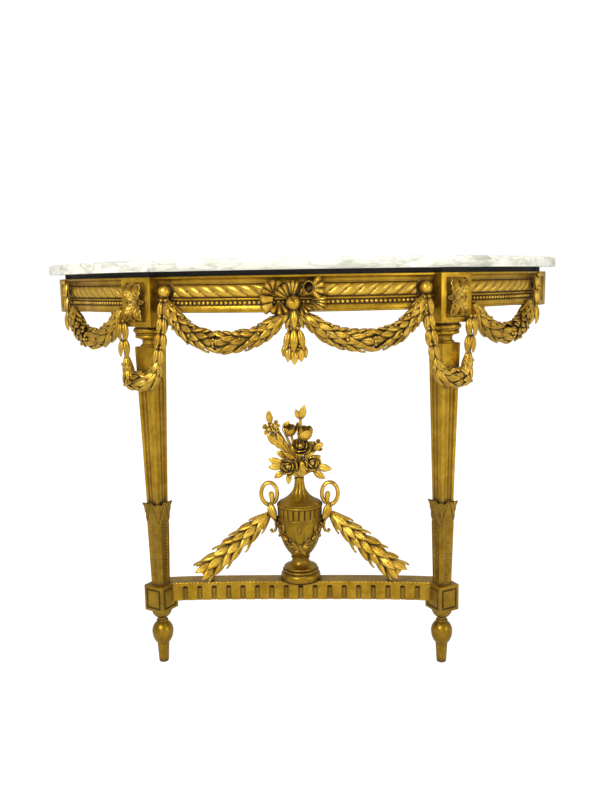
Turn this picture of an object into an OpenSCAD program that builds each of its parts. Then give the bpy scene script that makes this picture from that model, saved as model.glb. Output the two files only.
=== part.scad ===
// Demilune console table: a bowed apron on two carved legs, a shaped stretcher
// with a covered urn, laurel garlands and a marble top. It is fixed to a wall.
// Millimetres, +Z up, the front faces -Y and the wall is on the +Y side.

/* [Overall] */
// Width across the marble top
table_w = 1170; // [1060:10:1290]
// Depth from the wall to the front of the marble
table_d = 380; // [350:5:420]
// Height from the floor to the upper side of the marble
table_h = 870; // [850:5:920]
// Length of the straight ends of the marble at the wall
end_straight = 28.5; // [20:0.5:36]
// Angle from the middle of the bow to each leg
leg_angle = 30; // [28:1:32]

/* [Marble top] */
// Thickness of the marble
marble_t = 22; // [16:1:34]
// Rounding of the upper edge of the marble
marble_round = 9; // [4:1:12]
// Distance that the marble reaches past the apron's top moulding
marble_over = 30; // [20:1:36]
// Distance that the marble reaches past the sides of each leg block
marble_side = 24; // [16:1:30]
// Height of the dark frame under the marble
top_frame_h = 10; // [6:1:16]
// Distance that the dark frame is set back from the moulding
top_frame_setback = 8; // [4:1:12]
// Distance that the loose marble can be lifted
marble_lift = 100; // [60:10:200]

/* [Apron] */
// Height of the top moulding
top_mould_h = 16; // [12:1:22]
// Height of the band with the rope twist
frieze_h = 27; // [22:1:34]
// Height of the plain strip under the rope twist
fillet_h = 5; // [3:1:8]
// Height of the strip that carries the beads
bead_band_h = 10; // [8:1:14]
// Height of the plain lower edge
lower_edge_h = 14; // [10:1:20]
// Projection of the top moulding in front of the frieze
mould_out = 12; // [8:1:16]
// Projection of the lower edge in front of the frieze
lower_out = 7; // [4:1:10]
// Thickness of the rails behind the frieze
rail_t = 30; // [22:1:36]
// Thickness of the plain rail along the wall
back_rail_t = 22; // [18:1:30]
// Width of the plain cross batten under the marble
batten_w = 45; // [30:1:70]
// Thickness of the cross batten
batten_t = 20; // [15:1:26]

/* [Ornament of the apron] */
// Length of one turn of the rope twist
twist_pitch = 25; // [20:1:30]
// Projection of the rope twist
twist_out = 6; // [4:1:8]
// Slant of the turns
twist_slant = 38; // [25:1:50]
// Projection of the bead strip
bead_out = 5; // [3:1:6]
// Diameter of the balls that carry the garlands
ball_d = 26; // [20:1:30]
// Distance along the frieze from the leg block to the middle of each ball
ball_gap = 25; // [22:1:34]

/* [Leg blocks] */
// Side of the square block at the top of each leg
block_w = 76; // [70:1:80]
// Projection of the block in front of the frieze
block_out = 27; // [20:1:30]
// Distance that the block reaches below the apron
block_drop = 28; // [16:1:36]
// Width of the sunk panel in the block
panel_w = 48; // [36:1:54]
// Height of the sunk panel in the block
panel_h = 78; // [60:1:84]
// Depth of the sunk panels
panel_sink = 4; // [2:1:6]
// Width of each rear block along the apron
rear_w = 46; // [36:1:52]
// Projection of the rear block in front of the frieze
rear_out = 16; // [10:1:20]
// Distance from the wall to the middle of each rear block
rear_back = 18; // [12:1:26]
// Distance along the frieze from the rear block to the middle of its leaf drop
drop_gap = 25; // [18:1:32]

/* [Legs] */
// Side of the square shaft at its top
shaft_top_w = 46; // [40:1:52]
// Side of the shaft where the leaf sheath starts
shaft_low_w = 32; // [28:1:38]
// Diameter of the turned ring under the block
ring_d = 68; // [60:1:74]
// Height of the turned ring with its cap
ring_h = 27; // [22:1:32]
// Diameter of the turned neck
neck_d = 32; // [26:1:38]
// Height of the turned neck
neck_h = 15; // [10:1:20]
// Height of the leaf sheath above the lower block
sheath_h = 173; // [140:2:200]
// Length of the pointed tips of the sheath
sheath_tip = 44; // [30:1:56]
// Thickness of the sheath's leaves
sheath_t = 4; // [3:1:6]
// Width of the flute in each face of the shaft
flute_w = 20; // [14:1:24]
// Depth of the flute
flute_sink = 3; // [2:1:5]
// Length of the plain part above the flute
plain_h = 62; // [50:1:90]

/* [Lower blocks and feet] */
// Side of the square block that holds the stretcher
lower_block_w = 51; // [48:1:60]
// Height of the lower block
lower_block_h = 57; // [54:1:66]
// Height of the foot under the lower block
foot_h = 122; // [118:1:134]
// Diameter of the bulb of the foot
bulb_d = 46; // [40:1:50]
// Height of the middle of the bulb above the floor
bulb_z = 71; // [68:1:76]
// Diameter of the collar at the top of the foot
collar_d = 44; // [38:1:47]
// Diameter of the neck of the foot
foot_neck_d = 19; // [16:1:24]
// Diameter of the round peg under the bulb
peg_d = 26; // [22:1:30]
// Diameter of the peg on the floor
peg_low_d = 21; // [16:1:22]
// Height of the peg
peg_h = 43; // [36:1:46]

/* [Stretcher] */
// Depth of the stretcher from front to back
stretcher_d = 42; // [36:1:46]
// Height of the stretcher
stretcher_h = 40; // [34:1:46]
// Distance from the legs' axes back to the middle of the stretcher's ends
stretcher_in = 2.3; // [0:0.1:6]
// Distance that its ends come forward
stretcher_bow = 24; // [14:1:28]
// Number of flutes in its front
stretcher_flutes = 17; // [11:2:19]
// Width of one of these flutes
stretcher_flute_w = 11; // [8:1:13]
// Distance from the top of these flutes up to the stretcher's upper edge
stretcher_flute_top = 9; // [6:1:14]
// Depth of one of these flutes
stretcher_flute_sink = 3; // [2:0.5:4]

/* [Urn] */
// Diameter of the urn's round foot
urn_foot_d = 88; // [76:1:90]
// Height of the urn's round foot
urn_foot_h = 42; // [36:1:48]
// Diameter of the urn's stem
urn_stem_d = 38; // [32:1:44]
// Height of the stem
urn_stem_h = 14; // [10:1:18]
// Height of the bowl below the rim band
urn_bowl_h = 84; // [74:1:94]
// Diameter of the bowl at the top
urn_bowl_d = 98; // [90:1:102]
// Height of the rim band
urn_band_h = 32; // [26:1:36]
// Diameter of the rim
urn_rim_d = 104; // [98:1:110]
// Height of the lid
urn_lid_h = 56; // [48:1:64]
// Diameter of the lid's neck
urn_neck_d = 19; // [16:1:24]
// Height of the bouquet above the lid
bouquet_h = 164; // [140:2:180]
// Thickness of the handles
handle_t = 8; // [6:0.5:9]
// Width of the loop of a handle
handle_w = 42; // [38:1:46]
// Height of the loop of a handle
handle_h = 56; // [50:1:62]

/* [Garlands] */
// Length of a laurel leaf
leaf_l = 36; // [30:1:40]
// Width of a laurel leaf
leaf_w = 15; // [12:1:18]
// Thickness of a laurel leaf
leaf_t = 5; // [4:0.5:6]
// Radius of the core of a garland at its fullest
core_r = 13; // [10:0.5:15]
// Distance between two rings of leaves
leaf_step = 28; // [24:1:34]
// Distance from the apron's lower edge down to the garlands' lowest middle point
swag_sag = 63; // [46:1:71]
// Distance from the leg block down to the lowest middle point of its collar
collar_sag = 110; // [88:1:123]
// Distance from each leg's axis to the foot of the garland beside it
urn_garland_gap = 91; // [75:1:115]
// Width of the ribbon bow
bow_w = 124; // [100:2:140]
// Height of the ribbon bow
bow_h = 66; // [54:1:74]
// Length of the leaf pendant under the bow
pendant_l = 112; // [90:1:124]

/* [Hidden] */

// Colours that the photo shows
gold = "#c9992f";
bright_gold = "#e0b64c";
bare_wood = "#9a7146";
marble_white = "#e9e7df";
dark_wood = "#241d16";

// Small allowances and angles that several modules share
slip = 0.3;
past = 1;
round_fn = 48;
arc_fn = 120;
half_turn = 180;

// Plan: every bowed piece is drawn about one centre, behind the wall
bow_rise = table_d - end_straight;
marble_r = (table_w * table_w / 4 + bow_rise * bow_rise) / bow_rise / 2;
arc_y = marble_r - table_d / 2;
wall_y = table_d / 2;
mould_r = marble_r - marble_over;
frieze_r = mould_r - mould_out;
rail_in_r = frieze_r - rail_t;
block_face_r = frieze_r + block_out;
leg_r = block_face_r - block_w / 2;
// Distances that a rear block goes on behind the rail and towards the wall
rear_in = 30;
rear_more = 40;
// Turn about the bow's centre that covers a length along the frieze
function along(l) = l / frieze_r * half_turn / PI;
rear_angle = acos((arc_y - wall_y + rear_back) / frieze_r);
drop_angle = rear_angle - along(rear_w / 2 + drop_gap);
ball_angle = leg_angle - along(block_w / 2 + ball_gap);

// Heights
rail_top = table_h - marble_t - top_frame_h;
frieze_top = rail_top - top_mould_h;
frieze_bottom = frieze_top - frieze_h;
bead_top = frieze_bottom - fillet_h;
bead_bottom = bead_top - bead_band_h;
rail_bottom = bead_bottom - lower_edge_h;
block_bottom = rail_bottom - block_drop;
frieze_mid = (frieze_top + frieze_bottom) / 2;
bead_mid = (bead_top + bead_bottom) / 2;
lower_block_top = foot_h + lower_block_h;
sheath_top_z = lower_block_top + sheath_h;
neck_bottom = block_bottom - ring_h - neck_h;
swag_low_z = rail_bottom - swag_sag;
collar_low_z = block_bottom - collar_sag;

// A point on the bow from its angle, radius and height, and the way out there
function bow_point(a, r, z) = [r * sin(a), arc_y - r * cos(a), z];
function bow_out(a) = [sin(a), -cos(a), 0];
function unit(v) = v / norm(v);
function mix(a, b, t) = a + (b - a) * t;

leg_x = leg_r * sin(leg_angle);
leg_y = arc_y - leg_r * cos(leg_angle);

// Children drawn about a leg's axis, with the leg's front towards -Y
module at_leg(side) {
    translate([side * leg_x, leg_y, 0])
        rotate([0, 0, side * leg_angle])
            children();
}

// Children drawn with -Y as the way out, at an angle and radius on the bow
module on_bow(a, r, z) {
    translate(bow_point(a, r, z))
        rotate([0, 0, a])
            children();
}

// A profile of radius and height swept along the bow between two angles
module sweep_bow(from, to) {
    translate([0, arc_y, 0])
        rotate_extrude(angle = to - from, start = 270 + from, $fn = arc_fn)
            children();
}

// A box centred in X and Y that stands on z = 0
module post(x, y, h) {
    translate([-x / 2, -y / 2, 0])
        cube([x, y, h]);
}

// Everything in front of the wall, to trim pieces that meet it
module room_side() {
    translate([-table_w, -table_d, 0])
        cube([table_w * 2, table_d + wall_y, table_h + marble_lift]);
}

// A tube with given radii along a path; side_of gives the direction of its first corner
module tube(path, radii, side_of, sides) {
    last = len(path) - 1;
    ahead = [for (i = [0:last]) unit(path[min(i + 1, last)] - path[max(i - 1, 0)])];
    first = [for (i = [0:last]) unit(side_of[i] - ahead[i] * (side_of[i] * ahead[i]))];
    second = [for (i = [0:last]) cross(ahead[i], first[i])];
    ring = [for (i = [0:last], k = [0:sides - 1])
        path[i] + radii[i] * (cos(k * 360 / sides) * first[i] + sin(k * 360 / sides) * second[i])];
    walls = [for (i = [0:last - 1], k = [0:sides - 1])
        [i * sides + k, i * sides + (k + 1) % sides,
            (i + 1) * sides + (k + 1) % sides, (i + 1) * sides + k]];
    near_end = [[for (k = [sides - 1:-1:0]) k]];
    far_end = [[for (k = [0:sides - 1]) last * sides + k]];
    polyhedron(ring, [for (f = concat(walls, near_end, far_end)) [for (j = [len(f) - 1:-1:0]) f[j]]]);
}

// A laurel leaf along +X with its ridge towards +Z
module leaf(l, w, t) {
    hull()
        polyhedron(
            [[0, 0, 0], [l * 0.3, w * 0.46, 0], [l * 0.3, -w * 0.46, 0], [l * 0.66, w * 0.4, t * 0.3],
                [l * 0.66, -w * 0.4, t * 0.3], [l, 0, t * 0.2], [l * 0.45, 0, t]],
            [[0, 1, 6], [0, 6, 2], [1, 3, 6], [3, 5, 6], [5, 4, 6], [4, 2, 6], [0, 2, 4, 5, 3, 1]]);
}

// Children placed with +X along fore and +Z as near to up as it can be
module facing(at, fore, up) {
    x = unit(fore);
    z = unit(up - x * (up * x));
    y = cross(z, x);
    multmatrix([for (i = [0:2]) [x[i], y[i], z[i], at[i]]])
        children();
}

// Leaves round one point of a garland, leaning out from it
module leaf_ring(at, ahead, out, r, turns, grow, lift) {
    side = cross(out, ahead);
    for (turn = turns) {
        away = out * cos(turn) + side * sin(turn);
        facing(at + away * r * root_share, ahead * cos(lift) + away * sin(lift), away)
            leaf(leaf_l * grow, leaf_w * grow, leaf_t);
    }
}
root_share = 0.38;
leaf_lift = 24;
// Turns of the leaves in a ring of a full garland and of a slim chain
full_turns = [-78, 0, 78];
slim_turns = [-48, 48];
garland_sides = 6;

// Under this share of the full radius a garland has two leaves in a ring
slim_limit_share = 0.46;

// A garland: a core along the path with rings of leaves, which point from both
// ends of the path towards the place where the share of its length is meet
module garland(path, outs, radii, meet, grow) {
    last = len(path) - 1;
    tube(path, radii, outs, garland_sides);
    for (i = [0:last - 1]) {
        way = i < meet * last ? 1 : -1;
        root = way > 0 ? i : i + 1;
        ahead = unit(path[root + way] - path[root]);
        turns = radii[root] > core_r * slim_limit_share ? full_turns : slim_turns;
        leaf_ring(path[root], ahead, outs[root], radii[root], turns, grow, leaf_lift);
    }
}

// Height of a hanging curve over its lowest point, as a share of its rise
hang_curve = 2.5;
function cosh_of(x) = (exp(x) + exp(-x)) / 2;
function hang(u) = (cosh_of(hang_curve * u) - 1) / (cosh_of(hang_curve) - 1);

// Points of a swag between two angles, with the heights of its two ends
function swag_path(a0, a1, r, z0, z1, n) = [for (i = [0:n])
    let (u = 2 * i / n - 1)
    bow_point(mix(a0, a1, i / n), r, mix(swag_low_z, u < 0 ? z0 : z1, hang(u)))];
function swag_outs(a0, a1, n) = [for (i = [0:n]) bow_out(mix(a0, a1, i / n))];
// Radius of the core, full in the middle and slim at both ends
slim_share = 0.5;
function full_radii(n) = [for (i = [0:n]) core_r * mix(slim_share, 1, sin(half_turn * i / n))];

// Marble top, which lies loose on the dark frame
seat_gap = 0.1;
slab_z = rail_top + top_frame_h + seat_gap;
slab_h = marble_t - seat_gap;
module marble_edge(r, h) {
    square([r - marble_round, h]);
    square([r, h - marble_round]);
    translate([r - marble_round, h - marble_round])
        circle(marble_round, $fn = round_fn);
}

module marble_break(side) {
    w = block_w + marble_side * 2;
    deep = block_w + marble_over;
    at_leg(side)
        translate([0, -block_w / 2 - marble_over, slab_z]) {
            intersection() {
                rotate([90, 0, 0])
                    translate([0, 0, -deep])
                        linear_extrude(deep)
                            rounded_top(w);
                rotate([90, 0, 90])
                    translate([0, 0, -w / 2])
                        linear_extrude(w)
                            translate([deep, 0])
                                rounded_top(deep * 2);
            }
        }
}

// Section of the slab: full width w below, rounded above on both sides
module rounded_top(w) {
    translate([-w / 2, 0])
        square([w, slab_h - marble_round]);
    translate([-w / 2 + marble_round, 0])
        square([w - marble_round * 2, slab_h]);
    for (s = [-1, 1])
        translate([s * (w / 2 - marble_round), slab_h - marble_round])
            circle(marble_round, $fn = round_fn);
}

module marble_top() {
    color(marble_white)
        intersection() {
            union() {
                translate([0, 0, slab_z])
                    sweep_bow(-half_turn / 2, half_turn / 2)
                        marble_edge(marble_r, slab_h);
                marble_break(-1);
                marble_break(1);
            }
            translate([-table_w / 2, -table_d / 2 - past, 0])
                cube([table_w, table_d + past, table_h + past]);
        }
}

// The dark frame that the marble lies on, an open D with squares over the blocks
module top_frame() {
    block_side = block_w - top_frame_setback;
    rear_side = rear_w - top_frame_setback;
    color(dark_wood)
        translate([0, 0, rail_top])
            linear_extrude(top_frame_h)
                intersection() {
                    union() {
                        frame_ring(mould_r - top_frame_setback, rail_in_r);
                        for (side = [-1, 1]) {
                            translate([side * leg_x, leg_y])
                                rotate(side * leg_angle)
                                    square(block_side, center = true);
                            translate([side * rear_reach, wall_y - rear_side / 2])
                                square([rear_side * 2, rear_side], center = true);
                        }
                        translate([-rear_reach, wall_y - back_rail_t])
                            square([rear_reach * 2, back_rail_t]);
                    }
                    translate([-table_w, -table_d])
                        square([table_w * 2, table_d + wall_y]);
                }
}

module frame_ring(outer, inner) {
    translate([0, arc_y])
        difference() {
            circle(outer, $fn = arc_fn);
            circle(inner, $fn = arc_fn);
        }
}
// Half the length of the wall rail, which ends inside the cut for the rear blocks
rear_reach = (rail_in_r - rear_in) * sin(rear_angle) + rear_w / 2 * cos(rear_angle);

// Rails of the apron: one profile with the top moulding and the two lower strips
module rail_profile() {
    cove = mould_out - lower_out / 2;
    difference() {
        union() {
            translate([rail_in_r, rail_bottom])
                square([rail_t, rail_top - rail_bottom]);
            translate([frieze_r - past, frieze_top])
                square([mould_out + past, top_mould_h]);
            translate([frieze_r - past, rail_bottom])
                square([lower_out + past, lower_edge_h]);
            translate([frieze_r - past, bead_top])
                square([lower_out / 2 + past, fillet_h]);
        }
        translate([mould_r, frieze_top])
            circle(cove, $fn = round_fn);
    }
}

module rail(from, to) {
    difference() {
        intersection() {
            sweep_bow(from, to)
                rail_profile();
            room_side();
        }
        for (side = [-1, 1]) {
            at_leg(side)
                translate([0, 0, block_bottom])
                    post(block_w, block_w, rail_top - block_bottom + past);
            rear_post(side, rear_w, rear_out, rail_bottom - past, rail_top - rail_bottom + past * 2);
        }
    }
}

module front_rail() {
    color(gold)
        rail(-leg_angle, leg_angle);
}

module left_side_rail() {
    color(gold)
        rail(-rear_angle, -leg_angle);
}

module right_side_rail() {
    color(gold)
        rail(leg_angle, rear_angle);
}

// Rear blocks, carried on towards the wall and cut off flush with it
module rear_post(side, w, out, z, h) {
    deep = rail_t + rear_in + out;
    intersection() {
        translate(bow_point(side * rear_angle, frieze_r + out - deep / 2, z))
            rotate([0, 0, side * rear_angle])
                translate([side * rear_more / 2, 0, 0])
                    post(w + rear_more, deep, h);
        room_side();
    }
}

rear_drop = 4;
module rear_block(side) {
    panel_side = rear_w - panel_sink * 4;
    low = rail_bottom - rear_drop;
    high = rail_top - low;
    color(gold)
        difference() {
            rear_post(side, rear_w, rear_out, low, high);
            on_bow(side * rear_angle, frieze_r + rear_out - panel_sink, low + panel_sink * 3)
                translate([0, -panel_sink, 0])
                    post(panel_side, panel_sink * 2, high - panel_sink * 6);
        }
}

module left_rear_block() {
    rear_block(-1);
}

module right_rear_block() {
    rear_block(1);
}

// Plain rail along the wall with two screw holes
wall_hole_d = 7;
wall_hole_gap = 640;
wall_hole_z = (rail_top + rail_bottom) / 2;
module back_rail() {
    color(bare_wood)
        difference() {
            translate([-rear_reach, wall_y - back_rail_t, rail_bottom])
                cube([rear_reach * 2, back_rail_t, rail_top - rail_bottom]);
            for (side = [-1, 1]) {
                rear_post(side, rear_w, rear_out, rail_bottom - past, rail_top - rail_bottom + past * 2);
                translate([side * wall_hole_gap / 2, wall_y + past, wall_hole_z])
                    rotate([90, 0, 0])
                        cylinder(d = wall_hole_d, h = back_rail_t + past * 2, $fn = round_fn);
            }
        }
}

// Plain batten from the front rail to the wall rail
module cross_batten() {
    color(bare_wood)
        intersection() {
            translate([-batten_w / 2, -table_d / 2, rail_top - batten_t])
                cube([batten_w, table_d - back_rail_t, batten_t]);
            translate([0, arc_y, 0])
                cylinder(r = rail_in_r, h = table_h, $fn = arc_fn);
        }
}

// Blocks at the top of the legs, with a sunk panel in front
module leg_block(side) {
    color(gold)
        at_leg(side)
            difference() {
                translate([0, 0, block_bottom])
                    post(block_w, block_w, rail_top - block_bottom);
                translate([0, -block_w / 2, (rail_top + block_bottom - panel_h) / 2])
                    post(panel_w, panel_sink * 2, panel_h);
            }
}

module left_leg_block() {
    leg_block(-1);
}

module right_leg_block() {
    leg_block(1);
}

// Leaf rosette in the sunk panel: eight leaves round a button
rosette_leaves = 8;
module rosette(side) {
    button_r = panel_w / 8;
    color(bright_gold)
        at_leg(side)
            translate([0, -block_w / 2 + panel_sink, (rail_top + block_bottom) / 2])
                rotate([90, 0, 0]) {
                    cylinder(r = button_r, h = leaf_t * 1.4, $fn = 12);
                    for (i = [0:rosette_leaves - 1]) {
                        turn = i * 360 / rosette_leaves + 360 / rosette_leaves / 2;
                        reach = min(panel_w / 2 / abs(cos(turn)), panel_h / 2 / abs(sin(turn)));
                        rotate([0, 0, turn])
                            translate([0, 0, leaf_t * 0.4])
                                leaf(reach - past * 3, leaf_w, leaf_t);
                    }
                }
}

module left_rosette() {
    rosette(-1);
}

module right_rosette() {
    rosette(1);
}

// Leg: turned ring and neck, tapered square shaft, leaf sheath
module frustum(low_w, top_w, z0, z1) {
    a = low_w / 2;
    b = top_w / 2;
    polyhedron(
        [[-a, -a, z0], [a, -a, z0], [a, a, z0], [-a, a, z0],
            [-b, -b, z1], [b, -b, z1], [b, b, z1], [-b, b, z1]],
        [[0, 1, 2, 3], [4, 7, 6, 5], [0, 4, 5, 1], [1, 5, 6, 2], [2, 6, 7, 3], [3, 7, 4, 0]]);
}

function shaft_w(z) = mix(shaft_low_w, shaft_top_w, (z - sheath_top_z) / (neck_bottom - sheath_top_z));
sheath_base_w = shaft_w(lower_block_top);
// Slope of one face of the shaft from plumb
face_lean = atan((shaft_top_w - shaft_low_w) / 2 / (neck_bottom - sheath_top_z));

// Children on a face of the shaft at a height, with the way out along -Y
module on_face(turn, z) {
    rotate([0, 0, turn])
        translate([0, -shaft_w(z) / 2, z])
            rotate([face_lean, 0, 0])
                children();
}

// A long flute with round ends, drawn up from z = 0 on a face
module face_flute(l) {
    r = flute_w / 2;
    deep = r - flute_sink;
    wide = sqrt(r * r - deep * deep);
    translate([0, -deep, wide])
        cylinder(r = r, h = l - wide * 2, $fn = round_fn);
}

// One leaf of the sheath as a pointed plate
module sheath_leaf(w, l, tip, t) {
    rotate([90, 0, 0])
        translate([0, 0, -past])
            linear_extrude(t + past)
                polygon([[-w / 2, 0], [w / 2, 0], [w / 2, l - tip], [w * 0.36, l - tip * 0.5],
                    [0, l], [-w * 0.36, l - tip * 0.5], [-w / 2, l - tip]]);
}

quarter_turns = [0, 90, 180, 270];
cap_h = 5;
module leg(side) {
    color(gold)
        at_leg(side) {
            translate([0, 0, block_bottom - cap_h])
                cylinder(d = ring_d * 0.82, h = cap_h, $fn = round_fn);
            translate([0, 0, neck_bottom + neck_h])
                leg_ring();
            translate([0, 0, neck_bottom - past])
                cylinder(d = neck_d, h = neck_h + past * 2, $fn = round_fn);
            difference() {
                frustum(sheath_base_w, shaft_top_w, lower_block_top, neck_bottom);
                for (turn = quarter_turns)
                    on_face(turn, sheath_top_z - sheath_tip)
                        face_flute(neck_bottom - plain_h - sheath_top_z + sheath_tip);
            }
            intersection() {
                union() {
                    for (turn = quarter_turns)
                        on_face(turn, lower_block_top)
                            translate([0, 0, -past])
                                sheath_leaf(sheath_base_w + sheath_t, sheath_h, sheath_tip, sheath_t);
                }
                translate([0, 0, lower_block_top])
                    post(lower_block_w, lower_block_w, sheath_h * 2);
            }
        }
}

// Turned ring with a round edge, drawn up from z = 0
module leg_ring() {
    high = ring_h - cap_h;
    edge_r = high * 0.36;
    rotate_extrude($fn = round_fn) {
        square([ring_d / 2 - edge_r, edge_r * 2]);
        translate([ring_d / 2 - edge_r, edge_r])
            circle(edge_r, $fn = round_fn);
        square([ring_d * 0.38, high]);
    }
}

module left_leg() {
    leg(-1);
}

module right_leg() {
    leg(1);
}

// Lower blocks with a sunk panel in each of the outer faces
lower_panel_margin = 10;
module lower_block(side) {
    panel = lower_block_w - lower_panel_margin * 2;
    color(gold)
        at_leg(side)
            difference() {
                translate([0, 0, foot_h])
                    post(lower_block_w, lower_block_w, lower_block_h);
                for (turn = quarter_turns)
                    rotate([0, 0, turn])
                        if (turn != 90 || side < 0)
                            if (turn != 270 || side > 0)
                                translate([0, -lower_block_w / 2, foot_h + (lower_block_h - panel) / 2])
                                    post(panel, panel_sink, panel);
            }
}

module left_lower_block() {
    lower_block(-1);
}

module right_lower_block() {
    lower_block(1);
}

// Turned foot: a cup under the block, a neck with a ring, a bulb and a round peg
function arc_points(cx, cz, rx, rz, a0, a1, n) =
    [for (i = [0:n]) let (a = mix(a0, a1, i / n)) [cx + rx * cos(a), cz + rz * sin(a)]];

module foot(side) {
    bulb_r = bulb_d / 2;
    peg_r = peg_d / 2;
    neck_r = foot_neck_d / 2;
    ring_t = 3;
    ring_lip = 1;
    low_turn = acos(peg_r / bulb_r);
    cup_turn = acos(neck_r / (collar_d / 2));
    neck_z = foot_h - collar_d / 2;
    ring_z = neck_z - ring_t * 2.5;
    color(gold)
        at_leg(side)
            rotate_extrude($fn = round_fn)
                polygon(concat(
                    [[0, 0], [peg_low_d / 2 - ring_t, 0], [peg_low_d / 2, ring_t]],
                    arc_points(0, bulb_z, bulb_r, (bulb_z - peg_h) / sin(low_turn), -low_turn, 0, 8),
                    arc_points(0, bulb_z, bulb_r, (ring_z - bulb_z) / sin(60), 0, 60, 6),
                    [[neck_r + ring_t, ring_z + ring_lip], [neck_r + ring_t, ring_z + ring_t],
                        [neck_r, ring_z + ring_t + ring_lip]],
                    arc_points(0, foot_h, collar_d / 2, collar_d / 2, -cup_turn, 0, 8),
                    [[0, foot_h]]));
}

module left_foot() {
    foot(-1);
}

module right_foot() {
    foot(1);
}

// Rope twist: a low strip with slanted turns, which lean away from the middle
module twist_turn(slant) {
    l = frieze_h * 0.5;
    w = twist_pitch * 0.36;
    rotate([90, 0, 0])
        rotate([0, 0, slant])
            hull() {
                linear_extrude(slip)
                    polygon([for (i = [0:5]) [w * cos(i * 60), l * sin(i * 60)]]);
                translate([0, 0, twist_out * 0.82 - slip])
                    linear_extrude(slip)
                        polygon([for (i = [0:3]) [w * 0.5 * cos(i * 90), l * 0.66 * sin(i * 90)]]);
            }
}

module twist(from, to, slant) {
    low = twist_out * 0.35;
    step = twist_pitch / frieze_r * half_turn / PI;
    n = floor((to - from) / step);
    union() {
        hull_strip(from, to, low);
        for (i = [0:n - 1]) {
            a = mix(from, to, (i + 0.5) / n);
            on_bow(a, frieze_r + low / 2, frieze_mid)
                twist_turn(a < 0 ? slant : -slant);
        }
    }
}

// Low strip behind the turns, as one chain of straight pieces
module hull_strip(from, to, t) {
    n = ceil((to - from) / 2.8);
    high = frieze_h - past * 2;
    for (i = [0:n - 1])
        hull()
            for (a = [mix(from, to, i / n), mix(from, to, (i + 1) / n)])
                on_bow(a, frieze_r + slip, frieze_mid - high / 2)
                    translate([0, -t, 0])
                        cube([slip, t, high]);
}

block_edge_angle = asin(block_w / 2 / block_face_r);
rear_edge_angle = asin(rear_w / 2 / frieze_r);
side_from = leg_angle + block_edge_angle + 0.4;
side_to = rear_angle - rear_edge_angle - 0.4;
ball_clear = asin(ball_d * 0.56 / frieze_r);

module front_twist() {
    color(gold)
        twist(-ball_angle + ball_clear, ball_angle - ball_clear, twist_slant);
}

module left_side_twist() {
    color(gold)
        twist(-side_to, -side_from, twist_slant);
}

module right_side_twist() {
    color(gold)
        twist(side_from, side_to, twist_slant);
}

// Bead strips, drawn here as half-round mouldings
module bead_strip(from, to) {
    sweep_bow(from, to)
        intersection() {
            translate([frieze_r, bead_mid])
                circle(bead_band_h / 2 - slip, $fn = round_fn);
            translate([frieze_r, bead_bottom])
                square([bead_out, bead_band_h]);
        }
}

module front_beads() {
    color(bright_gold)
        bead_strip(-ball_angle, ball_angle);
}

module left_side_beads() {
    color(bright_gold)
        bead_strip(-side_to, -side_from);
}

module right_side_beads() {
    color(bright_gold)
        bead_strip(side_from, side_to);
}

// Balls that carry the garlands, each on a short boss
module ball(side) {
    boss_d = ball_d * 0.6;
    boss_t = ball_d / 2;
    color(bright_gold)
        on_bow(side * ball_angle, frieze_r, frieze_mid) {
            translate([0, -ball_d * 0.62, 0])
                sphere(d = ball_d, $fn = round_fn);
            rotate([90, 0, 0])
                cylinder(d = boss_d, h = boss_t, $fn = round_fn);
        }
}

module left_ball() {
    ball(-1);
}

module right_ball() {
    ball(1);
}

// Front swags, from a ball down and up to the bow in the middle
swag_r = frieze_r + core_r * 0.9;
swag_ball_z = frieze_mid - ball_d * 0.8;
swag_lap = 4;
swag_bow_z = rail_bottom - core_r;
swag_bow_angle = 2.4;
// Length of a hanging garland for the length of rail that it spans
slack_share = 1.25;
function rings_over(turn) = round(turn * PI / half_turn * frieze_r * slack_share / leaf_step);
module front_swag(side) {
    n = rings_over(ball_angle - swag_bow_angle);
    color(gold)
        intersection() {
            garland(swag_path(side * ball_angle, side * swag_bow_angle, swag_r, swag_ball_z, swag_bow_z, n),
                swag_outs(side * ball_angle, side * swag_bow_angle, n), full_radii(n), 0.5, 1);
            room_side();
        }
}

module left_front_swag() {
    front_swag(-1);
}

module right_front_swag() {
    front_swag(1);
}

// Side swags, from the leg block to the rear block
swag_side_z = rail_bottom + swag_lap * 2;
module side_swag(side) {
    from = leg_angle + block_edge_angle + 1.6;
    to = drop_angle;
    n = rings_over(to - from);
    color(gold)
        garland(swag_path(side * from, side * to, swag_r, swag_side_z, swag_side_z, n),
            swag_outs(side * from, side * to, n), full_radii(n), 0.5, 0.95);
}

module left_side_swag() {
    side_swag(-1);
}

module right_side_swag() {
    side_swag(1);
}

// Leaf drops beside the rear blocks: a chain down the rail and a tassel under it
tassel_l = 46;
tassel_turns = [-70, 0, 70];
module tassel(side) {
    y = -mould_out - core_r * 0.5 - slip;
    top = [0, y, rail_top - core_r * 0.5];
    low = [side * core_r * 0.3, y, rail_bottom - tassel_l * 0.6];
    links = 5;
    color(gold)
        on_bow(side * drop_angle, frieze_r, 0) {
            tube([top, low], [core_r * 0.3, core_r * 0.5], [[0, -1, 0], [0, -1, 0]], garland_sides);
            for (i = [0:links - 1])
                leaf_ring(mix(top, low, (i + 0.2) / links), [0, 0, -1], [0, -1, 0], core_r * 0.45,
                    i < links - 2 ? slim_turns : tassel_turns, mix(0.7, 0.95, i / links), 14);
        }
}

module left_tassel() {
    tassel(-1);
}

module right_tassel() {
    tassel(1);
}

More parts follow.
